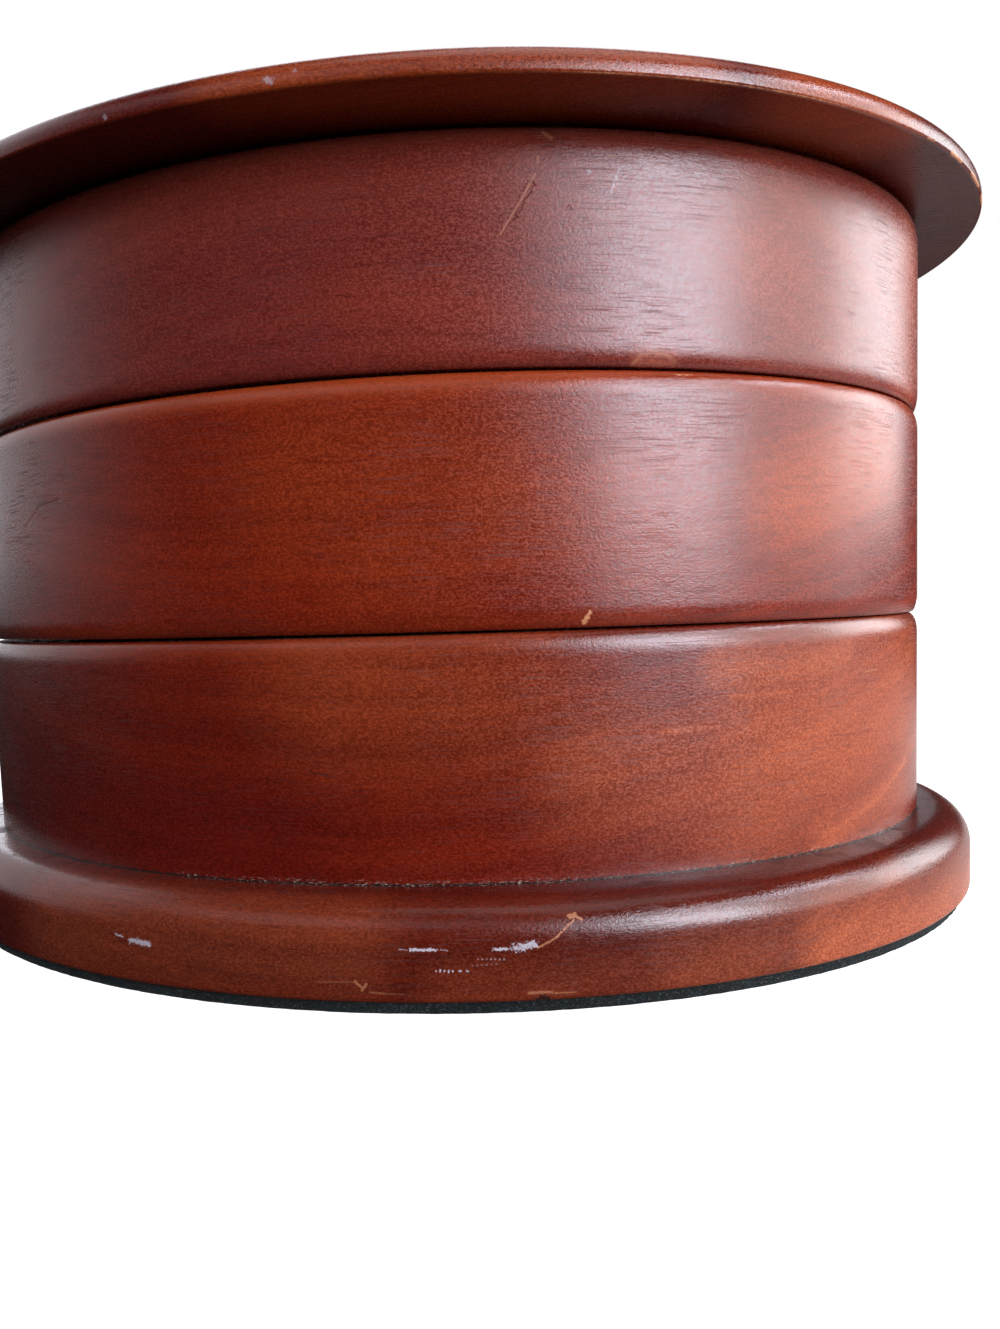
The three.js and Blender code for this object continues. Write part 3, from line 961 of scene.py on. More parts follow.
BASE_MARKS = (
    Mark(Worn.CHALKY, 1.0, 0.8, (-39.4, -85.4, 10.4), (-35.3, -86.3, 10.2)),
    Mark(Worn.CHALKY, 0.4, 0.8, (-42.8, -84.6, 11.1), (-41.2, -85.0, 10.8)),
    Mark(Worn.CHALKY, 0.5, 0.95, (13.2, -89.3, 11.9), (17.3, -89.0, 11.9)),
    Mark(Worn.CHALKY, 0.35, 0.45, (11.2, -89.4, 11.9), (12.4, -89.3, 11.9)),
    Mark(Worn.CHALKY, 0.35, 0.4, (18.0, -88.9, 11.9), (19.1, -88.8, 11.8)),
    Mark(Worn.CHALKY, 0.5, 0.9, (26.7, -87.8, 11.8), (28.8, -87.4, 11.8)),
    Mark(Worn.CHALKY, 1.15, 0.85, (30.1, -87.2, 11.9), (33.2, -86.5, 12.3)),
    Mark(Worn.CHALKY, 0.4, 0.85, (17.0, -89.0, 8.3), (20.4, -88.7, 8.2), dots=5),
    Mark(Worn.CHALKY, 0.4, 0.75, (20.8, -88.6, 8.25), (23.2, -88.3, 8.2), dots=2),
    Mark(Worn.CHALKY, 0.3, 0.36, (23.9, -88.2, 10.2), (28.8, -87.5, 10.0), dots=7),
    Mark(Worn.CHALKY, 0.25, 0.25, (22.9, -88.3, 9.1), (27.6, -87.6, 9.3), dots=6),
    Mark(Worn.BARE, 0.38, 0.5, (33.8, -86.5, 11.7), (36.7, -85.8, 13.2)),
    Mark(Worn.BARE, 0.38, 0.55, (36.7, -85.8, 13.2), (39.6, -84.3, 15.7)),
    Mark(Worn.BARE, 0.9, 0.5, (38.9, -84.0, 16.3), (39.7, -83.8, 16.3)),
    Mark(Worn.BARE, 0.5, 0.5, (39.7, -83.8, 16.3), (40.9, -83.9, 15.6)),
    Mark(Worn.DIRT, 1.2, 1.0, (33.4, -86.3, 3.2), (35.0, -86.0, 3.2)),
    Mark(Worn.BARE, 0.5, 0.4, (32.2, -86.9, 4.2), (35.8, -86.2, 4.2)),
    Mark(Worn.BARE, 0.4, 0.4, (35.8, -86.3, 4.0), (39.9, -85.4, 3.9)),
    Mark(Worn.BARE, 0.5, 0.4, (3.5, -89.8, 6.4), (4.6, -89.8, 5.4)),
    Mark(Worn.BARE, 0.5, 0.4, (5.4, -89.7, 6.0), (4.6, -89.8, 4.9)),
    Mark(Worn.BARE, 0.36, 0.22, (6.0, -89.7, 4.6), (19.0, -88.6, 3.8)),
    Mark(Worn.BARE, 0.3, 0.15, (-3.3, -89.8, 6.1), (3.2, -89.8, 6.3)),
    Mark(Worn.THIN_STAIN_AND_PAINTED_LIGHT, 15.0, 0.3, (-60.0, -79.0, 10.0), (2.0, -89.0, 11.0)),
    Mark(Worn.THIN_STAIN_AND_PAINTED_LIGHT, 12.0, 0.2, (20.0, -88.0, 5.0), (66.0, -75.0, 4.0)),
    # Deep band along the top of the round-over, by the tray's foot: darker there.
    Mark(Worn.HEAVY_STAIN_AND_PAINTED_SHADE, 9.0, 0.5, (44.0, -81.0, 18.0), (80.0, -66.0, 18.0)),
    Mark(Worn.HEAVY_STAIN_AND_PAINTED_SHADE, 9.0, 0.5, (80.0, -66.0, 18.0), (118.0, -24.0, 18.0)),
    # Warm patches along the right-hand side: painted light, lighter towards the right where the light falls.
    Mark(Worn.THIN_STAIN_AND_PAINTED_LIGHT, 16.0, 0.35, (58.0, -78.0, 4.0), (78.0, -70.5, 4.0)),
    Mark(Worn.THIN_STAIN_AND_PAINTED_LIGHT, 16.0, 1.0, (84.0, -67.0, 4.0), (98.0, -57.0, 4.0)),
    Mark(Worn.THIN_STAIN_AND_PAINTED_LIGHT, 14.0, 1.0, (98.0, -57.0, 4.0), (115.0, -38.0, 4.0)),
    Mark(Worn.THIN_STAIN_AND_PAINTED_LIGHT, 14.0, 1.0, (115.0, -38.0, 4.0), (126.0, -12.0, 4.0)),
)
LID_MARKS = (
    Mark(Worn.CHALKY, 0.9, 0.4, (-3.6, -91.2, 149.4), (-2.8, -91.2, 149.1)),
    Mark(Worn.CHALKY, 0.8, 0.3, (1.0, -91.1, 150.3)),
    Mark(Worn.CHALKY, 0.8, 0.35, (-32.5, -88.2, 148.8)),
    Mark(Worn.BARE, 0.5, 0.5, (60.0, -78.5, 152.0), (64.0, -77.0, 152.0)),
    Mark(Worn.BARE, 0.6, 0.8, (104.0, -53.3, 148.0), (105.6, -51.9, 147.9)),
    Mark(Worn.BARE, 0.8, 0.9, (110.2, -46.6, 148.1), (113.4, -42.6, 147.9)),
    Mark(Worn.BARE, 0.7, 0.9, (117.0, -37.3, 148.1), (120.6, -31.0, 147.9)),
    Mark(Worn.BARE, 0.6, 0.9, (122.6, -26.7, 148.2), (124.4, -22.2, 147.9)),
    Mark(Worn.RUBBED, 9.0, 0.6, (30.0, -88.0, 148.0), (75.0, -74.0, 148.0)),
    Mark(Worn.RUBBED, 9.0, 0.8, (75.0, -74.0, 148.0), (117.0, -31.0, 148.0)),
    Mark(Worn.THIN_STAIN_AND_PAINTED_LIGHT, 15.0, 1.0, (80.0, -68.0, 147.8), (94.0, -58.0, 147.8)),
    Mark(Worn.THIN_STAIN_AND_PAINTED_LIGHT, 12.0, 0.7, (-10.0, -91.0, 149.0), (60.0, -80.0, 149.0)),
)

# This box's finishes

# Each finish's lightness is painted shade as well as tone: it falls from the top tray down to the base,
# darker towards the bottom of the stack, and the lid's is low for its shaded underside.
PLUM_WOOD = StainedWood(
    "plum_stained_wood",
    Figure(seed=1.0, pith_z=220.0),
    deep=(0.14, 0.016, 0.0115),
    warm=(0.22, 0.030, 0.014),
    thin=(0.34, 0.085, 0.05),
    edge_tint=0.5,
    lightness_and_painted_shade=0.96,
    warmth=0.35,
    marks=Marks(TOP_TRAY_MARKS),
)
AMBER_WOOD = StainedWood(
    "amber_stained_wood",
    Figure(seed=2.0),
    lightness_and_painted_shade=0.69,
    warmth=0.6,
    marks=Marks(MIDDLE_TRAY_MARKS),
)
RUSSET_WOOD = StainedWood(
    "russet_stained_wood",
    Figure(seed=3.0),
    thin=(0.43, 0.10, 0.035),
    lightness_and_painted_shade=0.59,
    warmth=0.45,
    edge_tint=0.3,
    seam=GluedSeam(),
    marks=Marks(BOTTOM_TRAY_MARKS),
)
MOULDING_WOOD = StainedWood(
    "moulding_stained_wood",
    Figure(seed=4.0),
    deep=(0.14, 0.0075, 0.0045),
    thin=(0.50, 0.12, 0.05),
    lightness_and_painted_shade=0.38,
    warmth=0.38,
    edge_tint=0.1,
    seam=GluedSeam(),
    marks=Marks(BASE_MARKS),
)
LID_WOOD = StainedWood(
    "lid_stained_wood",
    Figure(seed=5.0, grain=Grain.BOARD),
    deep=(0.14, 0.005, 0.003),
    warm=(0.25, 0.017, 0.004),
    lightness_and_painted_shade=0.44,
    roughness=0.2,
    warmth=0.45,
    wear=HandWear(0.06),
    dull_from=152.4,
    edge_tint=0.2,
    marks=Marks(LID_MARKS),
)
DIVIDER_WOOD = StainedWood("divider_stained_wood", Figure(seed=6.0, grain=Grain.BOARD), lightness_and_painted_shade=0.62)
PLYWOOD = StainedWood(
    "stained_plywood",
    Figure(seed=7.0, grain=Grain.BOARD),
    deep=(0.17, 0.07, 0.028),
    warm=(0.27, 0.13, 0.055),
    roughness=0.5,
)
VELVET = Pile(
    "charcoal_velvet",
    colour=(0.022, 0.022, 0.025),
    lint=(0.20, 0.20, 0.22),
    fibre_scale=2.2,
    relief=0.12,
    sheen=0.5,
    lint_share=0.0,
)
FELT = Pile(
    "black_felt",
    colour=(0.013, 0.016, 0.016),
    lint=(0.17, 0.20, 0.20),
    fibre_scale=1.5,
    relief=0.3,
    sheen=0.12,
    lint_share=0.15,
)
STEEL = TurnedMetal("zinc_plated_steel")
NYLON = MouldedNylon("milky_nylon")


# Mesh making


@dataclass(frozen=True)
class Station:
    """One corner of a section that is swept round the oval."""

    side: Side
    offset: float
    z: float
    arris: float = 0.0
    seam: float = 0.0


@dataclass(frozen=True)
class Edge:
    """A rounded edge: its reach in from the side and up it, and how much hands rub it."""

    inset: float
    height: float
    steps: int = 8
    rub: float = 1.0

    def foot(self, offset: float, low: float) -> list[Station]:
        """Returns the stations of an outer edge at a foot."""
        return self._turn(Side.OUTER, offset - self.inset, low + self.height, -90.0)

    def rim(self, offset: float, high: float, side: Side = Side.OUTER) -> list[Station]:
        """Returns the stations of an edge at a rim, with the wood inside that outline."""
        return self._turn(side, offset - self.inset, high - self.height, 0.0)

    def inner_rim(self, offset: float, high: float) -> list[Station]:
        """Returns the stations of a rim round an opening."""
        return self._turn(Side.INNER, offset + self.inset, high - self.height, 90.0)

    def _turn(self, side: Side, offset: float, z: float, start: float) -> list[Station]:
        """Returns a quarter turn of stations.

        Args:
            side: The outline that it follows.
            offset: The centre's offset from that outline.
            z: The centre's height.
            start: The angle at which it starts, in degrees. It turns anticlockwise.

        Returns:
            The stations.
        """
        stations = []
        for i in range(self.steps + 1):
            angle = math.radians(start + 90 * i / self.steps)
            reach, rise = self.inset * math.cos(angle), self.height * math.sin(angle)
            arris = self.rub * math.sin(math.pi * i / self.steps)
            stations.append(Station(side, offset + reach, z + rise, arris))
        return stations


@dataclass(frozen=True)
class OvalPlan:
    """The trays' oval and the inside outline cut into it, in metres."""

    half_width: float
    half_depth: float
    inside_width: float
    inside_depth: float
    inside_end: float
    corner_setback: float
    pivot: Vector

    @classmethod
    def from_frame(cls, lining_gap: float, corner_setback: float) -> "OvalPlan":
        """Takes the plan from the frame.

        Args:
            lining_gap: The gap between a lining and its wall.
            corner_setback: How far the rounding of the inside corners reaches.

        Returns:
            The plan.
        """
        wall_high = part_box("bottom_tray_wall")[1]
        lining_low, lining_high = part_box("bottom_tray_lining")
        bolt_low, bolt_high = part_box("pivot_bolt")
        wall = wall_high.x - lining_high.x - lining_gap
        return cls(
            wall_high.x,
            wall_high.y,
            wall_high.x - wall,
            wall_high.y - wall,
            lining_low.x - lining_gap,
            corner_setback,
            Vector(((bolt_low.x + bolt_high.x) / 2, 0.0, 0.0)),
        )

    def outer_ring(self, overhang: float, z: float) -> np.ndarray:
        """Returns points round the oval.

        Args:
            overhang: How far the oval is grown outwards.
            z: The height.

        Returns:
            The points.
        """
        turn = np.linspace(0.0, 2 * math.pi, OVAL_STEPS, endpoint=False)
        x = (self.half_width + overhang) * np.cos(turn)
        y = (self.half_depth + overhang) * np.sin(turn)
        return np.column_stack([x, y, np.full(OVAL_STEPS, z)])

    def inner_ring(self, grow: float, z: float) -> np.ndarray:
        """Returns points round the inside outline, one on each ray of the outer ring.

        Args:
            grow: How far the outline is grown outwards.
            z: The height.

        Returns:
            The points.
        """
        outline = self._inside_outline(grow)
        angles = np.arctan2(outline[:, 1], outline[:, 0])
        order = np.argsort(angles)
        radii = np.hypot(outline[:, 0], outline[:, 1])[order]
        rays = self.outer_ring(0.0, z)
        wanted = np.arctan2(rays[:, 1], rays[:, 0])
        reach = np.interp(wanted, angles[order], radii, period=2 * math.pi)
        return np.column_stack([reach * np.cos(wanted), reach * np.sin(wanted), rays[:, 2]])

    def _inside_outline(self, grow: float, samples: int = 1600) -> np.ndarray:
        """Returns the inside outline: an oval, two rounded corners and a square end.

        Args:
            grow: How far the outline is grown outwards.
            samples: Points along the oval.

        Returns:
            The points, in two columns.
        """
        reach_x = self.inside_width + grow
        reach_y = self.inside_depth + grow
        end_x = self.inside_end - grow
        corner_angle = math.acos(end_x / reach_x)
        corner = np.array([end_x, reach_y * math.sin(corner_angle)])
        wall_angle = corner_angle - self.corner_setback / reach_y
        turn = np.linspace(-wall_angle, wall_angle, samples)
        wall = np.column_stack([reach_x * np.cos(turn), reach_y * np.sin(turn)])
        t = np.linspace(0.0, 1.0, samples // 8)[1:, None]
        square = corner - np.array([0.0, self.corner_setback])
        back = (1 - t) ** 2 * wall[-1] + 2 * t * (1 - t) * corner + t**2 * square
        across = np.linspace(square[1], -square[1], samples // 16 + 1)[1:-1]
        end = np.column_stack([np.full_like(across, end_x), across])
        return np.vstack([wall, back, end, back[::-1] * (1, -1)])

    def ring(self, station: Station) -> np.ndarray:
        """Returns the points of a station."""
        ring = self.outer_ring if station.side is Side.OUTER else self.inner_ring
        return ring(station.offset, station.z)


def skinned(
    name: str,
    rings: Sequence[np.ndarray],
    closed: bool,
    layers: dict[str, Sequence[float]] | None = None,
) -> bpy.types.Object:
    """Joins rings of points into a mesh.

    Args:
        name: The piece's name.
        rings: Rings with as many points each.
        closed: Whether the last ring joins the first. Otherwise both ends are capped.
        layers: Numbers to store on the mesh, one for each ring.

    Returns:
        The new object.
    """
    count = len(rings[0])
    mesh = bpy.data.meshes.new(name)
    points = np.vstack(rings)
    spans = len(rings) if closed else len(rings) - 1
    faces = []
    for i in range(spans):
        low, high = i * count, (i + 1) % len(rings) * count
        for j in range(count):
            k = (j + 1) % count
            faces.append((low + j, low + k, high + k, high + j))
    if not closed:
        faces.append(tuple(range(count))[::-1])
        faces.append(tuple(range((len(rings) - 1) * count, len(rings) * count)))
    mesh.from_pydata(points.tolist(), [], faces)
    for layer_name, values in (layers or {}).items():
        layer = mesh.attributes.new(layer_name, "FLOAT", "POINT")
        layer.data.foreach_set("value", np.repeat(np.array(values, np.float32), count))
    work = bmesh.new()
    work.from_mesh(mesh)
    bmesh.ops.recalc_face_normals(work, faces=work.faces)
    work.to_mesh(mesh)
    work.free()
    piece = bpy.data.objects.new(name, mesh)
    bpy.context.scene.collection.objects.link(piece)
    return piece


def swept(name: str, plan: OvalPlan, stations: Sequence[Station], closed: bool) -> bpy.types.Object:
    """Sweeps a section round the oval.

    Args:
        name: The piece's name.
        plan: The oval.
        stations: The section's corners.
        closed: Whether the section is a closed loop.

    Returns:
        The new object.
    """
    layers = {"arris": [s.arris for s in stations], "seam": [s.seam for s in stations]}
    return skinned(name, [plan.ring(s) for s in stations], closed, layers)


def turned(name: str, profile: Profile, axis: Vector, closed: bool) -> bpy.types.Object:
    """Revolves a profile about an upright axis.

    Args:
        name: The piece's name.
        profile: Radius and height of each corner.
        axis: A point on the axis.
        closed: Whether the profile is a closed loop. Otherwise its ends are capped.

    Returns:
        The new object.
    """
    turn = np.linspace(0.0, 2 * math.pi, ROUND_STEPS, endpoint=False)
    x, y = np.cos(turn), np.sin(turn)
    rings = [
        np.column_stack([axis.x + radius * x, axis.y + radius * y, np.full(ROUND_STEPS, z)])
        for radius, z in profile
    ]
    return skinned(name, rings, closed)


def eased(profile: Profile, size: float) -> Profile:
    """Chamfers the corners of a closed profile.

    Args:
        profile: Radius and height of each corner.
        size: The chamfer's setback along each side.

    Returns:
        The profile with two corners for each one.
    """
    made = []
    corners = [Vector(corner) for corner in profile]
    for i, corner in enumerate(corners):
        for other in (corners[i - 1], corners[(i + 1) % len(corners)]):
            reach = other - corner
            step = min(size, reach.length * LONGEST_EASE_SHARE)
            made.append(tuple(corner + reach.normalized() * step))
    return made


def cut(piece: bpy.types.Object, cutter: bpy.types.Object) -> None:
    """Cuts one piece out of another and deletes the cutter.

    Args:
        piece: The piece that is cut.
        cutter: The shape of the hole.
    """
    modifier = piece.modifiers.new("cut", "BOOLEAN")
    modifier.operation = "DIFFERENCE"
    modifier.solver = "EXACT"
    modifier.object = cutter
    settle(piece)
    bpy.data.objects.remove(cutter)


def settle(piece: bpy.types.Object) -> None:
    """Applies a piece's modifiers to its mesh.

    Args:
        piece: The piece.
    """
    bpy.context.view_layer.update()
    shaped = piece.evaluated_get(bpy.context.evaluated_depsgraph_get())
    mesh = bpy.data.meshes.new_from_object(shaped)
    piece.modifiers.clear()
    piece.data = mesh


def smoothed(piece: bpy.types.Object, sharp_degrees: float = 34.0) -> bpy.types.Object:
    """Shades a piece smooth between its sharp edges.

    Args:
        piece: The piece.
        sharp_degrees: Edges that turn by more stay sharp.

    Returns:
        The piece.
    """
    for polygon in piece.data.polygons:
        polygon.use_smooth = True
    piece.data.set_sharp_from_angle(angle=math.radians(sharp_degrees))
    weighted = piece.modifiers.new("weighted", "WEIGHTED_NORMAL")
    weighted.keep_sharp = True
    return piece


@dataclass
class Dresser:
    """Gives pieces their body, node and material, and reports them."""

    body: str
    ease_steps: int = 3
    ease_degrees: float = 40.0

    def dress(
        self,
        piece: bpy.types.Object,
        material: bpy.types.Material,
        nodes: Iterable[str] = (),
    ) -> bpy.types.Object:
        """Finishes a new piece.

        Args:
            piece: The piece.
            material: Its material.
            nodes: The nodes that it stands for.

        Returns:
            The piece.
        """
        piece.data.materials.clear()
        piece.data.materials.append(material)
        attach(piece, self.body)
        nodes = tuple(nodes)
        if nodes:
            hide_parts(*nodes)
        LOG.info("%s: %d faces on %s", piece.name, len(piece.data.polygons), self.body)
        return piece

    def keep(self, node: str, slot: str, material: bpy.types.Material, ease: float) -> None:
        """Finishes a node that keeps its shape, with eased edges.

        Args:
            node: The node's name.
            slot: Its slot; not used.
            material: Its material.
            ease: The width of the eased edges.
        """
        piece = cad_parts[node]
        piece.data.materials.clear()
        piece.data.materials.append(material)
        bevel = piece.modifiers.new("ease", "BEVEL")
        bevel.width = ease
        bevel.segments = self.ease_steps
        bevel.limit_method = "ANGLE"
        bevel.angle_limit = math.radians(self.ease_degrees)
        LOG.info("%s: kept on %s, edges eased by %.1f mm", node, self.body, ease / MM)


PLAN = OvalPlan.from_frame(lining_gap=LINING_GAP, corner_setback=12 * MM)


# Sub-assemblies


@dataclass
class TrayWall:
    """The moulded wall of one tray, with the pivot block at its narrow end."""

    node: str
    finish: StainedWood
    body: str
    turning: bool = True
    rim: Edge = Edge(1.9 * MM, 4.2 * MM, 10, 0.8)
    foot: Edge = Edge(1.3 * MM, 3.4 * MM, 10, 0.15)
    inner_rim: Edge = Edge(0.9 * MM, 0.9 * MM, 6)
    support: float = 0.35 * MM
    seam_reach: float = 1.7 * MM
    sag: float = 0.45 * MM
    sag_start: float = -20 * MM
    sag_height: float = 2.5 * MM
    rabbet: float = 4 * MM
    panel: float = 3 * MM
    bolt_bore: float = BOLT_HOLE
    bush_bore: float = 6.2 * MM
    flange_bore: float = 10.2 * MM
    flange_depth: float = 1.2 * MM
    washer_depth: float = 0.0

    def build(self) -> bpy.types.Object:
        """Builds and dresses the wall.

        Returns:
            The piece.
        """
        low, high = (corner.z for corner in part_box(self.node))
        wall = swept(f"{self.node}_wood", PLAN, self._section(low, high), True)
        cut(wall, turned("bore", self._bore(low, high), PLAN.pivot, False))
        if self.turning:
            self._let_down(wall, low)
        smoothed(wall)
        return Dresser(self.body).dress(wall, self.finish.material(), [self.node])

    def _let_down(self, wall: bpy.types.Object, low: float) -> None:
        """Lets the foot down towards the free end, where the tray sags on its bolt.

        Args:
            wall: The wall.
            low: The height of its foot.
        """
        for vertex in wall.data.vertices:
            along = (vertex.co.x - self.sag_start) / (PLAN.half_width - self.sag_start)
            near = 1 - (vertex.co.z - low) / self.sag_height
            vertex.co.z -= self.sag * min(1.0, max(0.0, along)) * max(0.0, near)

    def _section(self, low: float, high: float) -> list[Station]:
        """Returns the wall's section.

        Args:
            low: The height of its foot.
            high: The height of its rim.

        Returns:
            The stations, up the outside and down the inside.
        """
        support = self.support
        if self.turning:
            foot = self.foot.foot(0.0, low)
            foot.append(Station(Side.OUTER, 0.0, low + self.foot.height + support))
            seat = [
                Station(Side.INNER, 0.0, low + self.panel),
                Station(Side.INNER, self.rabbet, low + self.panel),
                Station(Side.INNER, self.rabbet, low),
            ]
        else:
            foot = [
                Station(Side.OUTER, 0.0, low, seam=1.0),
                Station(Side.OUTER, 0.0, low + support, seam=0.7),
                Station(Side.OUTER, 0.0, low + self.seam_reach),
            ]
            seat = [Station(Side.INNER, 0.0, low)]
        rim = [
            Station(Side.OUTER, 0.0, high - self.rim.height - support),
            *self.rim.rim(0.0, high),
            Station(Side.OUTER, -self.rim.inset - support, high),
            Station(Side.INNER, self.inner_rim.inset + support, high),
            *self.inner_rim.inner_rim(0.0, high),
            Station(Side.INNER, 0.0, high - self.inner_rim.height - support),
        ]
        return [*foot, *rim, *seat]

    def _bore(self, low: float, high: float) -> Profile:
        """Returns the profile of the stepped bore in the pivot block.

        Args:
            low: The height of the wall's foot.
            high: The height of its rim.

        Returns:
            Radius and height of each corner.
        """
        below, above = low - OVERRUN, high + OVERRUN
        if not self.turning:
            return [(self.bolt_bore, below), (self.bolt_bore, above)]
        seat = low + self.flange_depth
        profile = [(self.flange_bore, below), (self.flange_bore, seat), (self.bush_bore, seat)]
        if not self.washer_depth:
            return [*profile, (self.bush_bore, above)]
        washer = high - self.washer_depth
        recess = [(self.bush_bore, washer), (self.flange_bore, washer), (self.flange_bore, above)]
        return [*profile, *recess]


@dataclass
class VelvetBed:
    """A card panel covered in velvet on a tray's floor."""

    node: str
    body: str
    edge: Edge = Edge(0.7 * MM, 0.7 * MM, 5)
    support: float = 0.3 * MM
    gap: float = LINING_GAP

    def build(self, velvet: bpy.types.Material) -> bpy.types.Object:
        """Builds and dresses the panel.

        Args:
            velvet: Its material.

        Returns:
            The piece.
        """
        low, high = (corner.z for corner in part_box(self.node))
        stations = [
            Station(Side.INNER, -self.gap, low),
            Station(Side.INNER, -self.gap, high - self.edge.height - self.support),
            *self.edge.rim(-self.gap, high, Side.INNER),
            Station(Side.INNER, -self.gap - self.edge.inset - self.support, high),
        ]
        panel = smoothed(swept(f"{self.node}_velvet", PLAN, stations, False))
        return Dresser(self.body).dress(panel, velvet, [self.node])


@dataclass
class RingCushion:
    """Velvet rolls between which rings are pushed."""

    nodes: tuple[str, ...]
    body: str
    around: int = 48
    along: int = 72
    tuck: float = 4.5 * MM
    crown_share: float = 0.56
    pucker: float = 0.35 * MM
    puckers: int = 9
    end_share: float = 0.015

    def build(self, velvet: bpy.types.Material) -> list[bpy.types.Object]:
        """Builds and dresses each roll.

        Args:
            velvet: Their material.

        Returns:
            The rolls.
        """
        rolls = []
        for i, node in enumerate(self.nodes):
            roll = smoothed(self._roll(f"{node}_velvet", *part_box(node), seed=i))
            Dresser(self.body).dress(roll, velvet, [node])
            rolls.append(roll)
        return rolls

    def _roll(self, name: str, low: Vector, high: Vector, seed: int) -> bpy.types.Object:
        """Returns one roll with a full crown, drawn in at its foot and gathered at its ends.

        Args:
            name: The piece's name.
            low: The lowest corner of the space that it fills.
            high: The highest corner.
            seed: Makes its puckers its own.

        Returns:
            The new object.
        """
        half, height = (high.x - low.x) / 2, high.z - low.z
        middle_x, reach = (low.x + high.x) / 2, (high.y - low.y) / 2
        crown = height * self.crown_share
        turn = np.linspace(0.0, 2 * math.pi, self.around, endpoint=False)
        phase = random.Random(seed).uniform(0.0, 2 * math.pi)
        rings = []
        for i in range(self.along + 1):
            share = -math.cos(math.pi * i / self.along)
            y = share * reach
            inset = max(0.0, self.tuck - (reach - abs(y))) / self.tuck
            full = math.sqrt(max(0.0, 1 - inset**2)) * (1 - self.end_share) + self.end_share
            depth = self.pucker / half * inset
            ripple = 1 - depth * (0.5 + 0.5 * np.sin(turn * self.puckers + phase))
            x = middle_x + half * full * ripple * np.cos(turn)
            z = low.z + (height - crown) + crown * full * ripple * np.sin(turn)
            rings.append(np.column_stack([x, np.full(self.around, y), np.maximum(z, low.z)]))
        return skinned(name, rings, False)


@dataclass
class Base:
    """The moulded board that carries everything, and its felt foot."""

    finish: StainedWood
    round_over: Edge = Edge(7 * MM, 7 * MM, 14)
    foot_ease: Edge = Edge(1 * MM, 1 * MM, 5)
    support: float = 0.4 * MM
    seam_reach: float = 1.3 * MM
    nut_pocket: float = 12 * MM
    nut_pocket_depth: float = 9 * MM
    bolt_bore: float = BOLT_HOLE
    felt_edge: Edge = Edge(0.5 * MM, 0.5 * MM, 3)
    felt_raggedness: float = 0.0016
    felt_seed: int = 4

    def build(self, felt: bpy.types.Material) -> None:
        """Builds and dresses the board and its felt.

        Args:
            felt: The foot's material.
        """
        self._board()
        self._foot(felt)

    def _board(self) -> bpy.types.Object:
        """Builds and dresses the moulded board.

        Returns:
            The piece.
        """
        low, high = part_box("base_plate")
        overhang = high.x - PLAN.half_width
        stations = [
            Station(Side.OUTER, overhang - self.foot_ease.inset - self.support, low.z),
            *self.foot_ease.foot(overhang, low.z),
            Station(Side.OUTER, overhang, low.z + self.foot_ease.height + self.support),
            Station(Side.OUTER, overhang, high.z - self.round_over.height - self.support),
            *self.round_over.rim(overhang, high.z),
            Station(Side.OUTER, overhang - self.round_over.inset - self.support, high.z),
            Station(Side.OUTER, self.seam_reach, high.z),
            Station(Side.OUTER, 0.0, high.z, seam=1.0),
            Station(Side.OUTER, -self.seam_reach, high.z, seam=1.0),
        ]
        board = swept("base_plate_wood", PLAN, stations, False)
        pocket_top = low.z + self.nut_pocket_depth
        bore = [
            (self.nut_pocket, low.z - OVERRUN),
            (self.nut_pocket, pocket_top),
            (self.bolt_bore, pocket_top),
            (self.bolt_bore, high.z + OVERRUN),
        ]
        cut(board, turned("bore", bore, PLAN.pivot, False))
        smoothed(board)
        return Dresser("base").dress(board, self.finish.material(), ["base_plate"])

    def _foot(self, felt: bpy.types.Material) -> bpy.types.Object:
        """Builds and dresses the felt, its cut edge a little uneven.

        Args:
            felt: Its material.

        Returns:
            The piece.
        """
        low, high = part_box("base_felt")
        overhang = high.x - PLAN.half_width
        edge = self.felt_edge
        stations = [
            Station(Side.OUTER, overhang - edge.inset * 2, low.z),
            *edge.foot(overhang, low.z),
            *edge.rim(overhang, high.z),
            Station(Side.OUTER, overhang - edge.inset * 2, high.z),
        ]
        foot = swept("base_felt_pad", PLAN, stations, False)
        chance = random.Random(self.felt_seed)
        for vertex in foot.data.vertices:
            vertex.co.xy *= 1 - chance.random() * self.felt_raggedness
        smoothed(foot)
        return Dresser("base").dress(foot, felt, ["base_felt"])


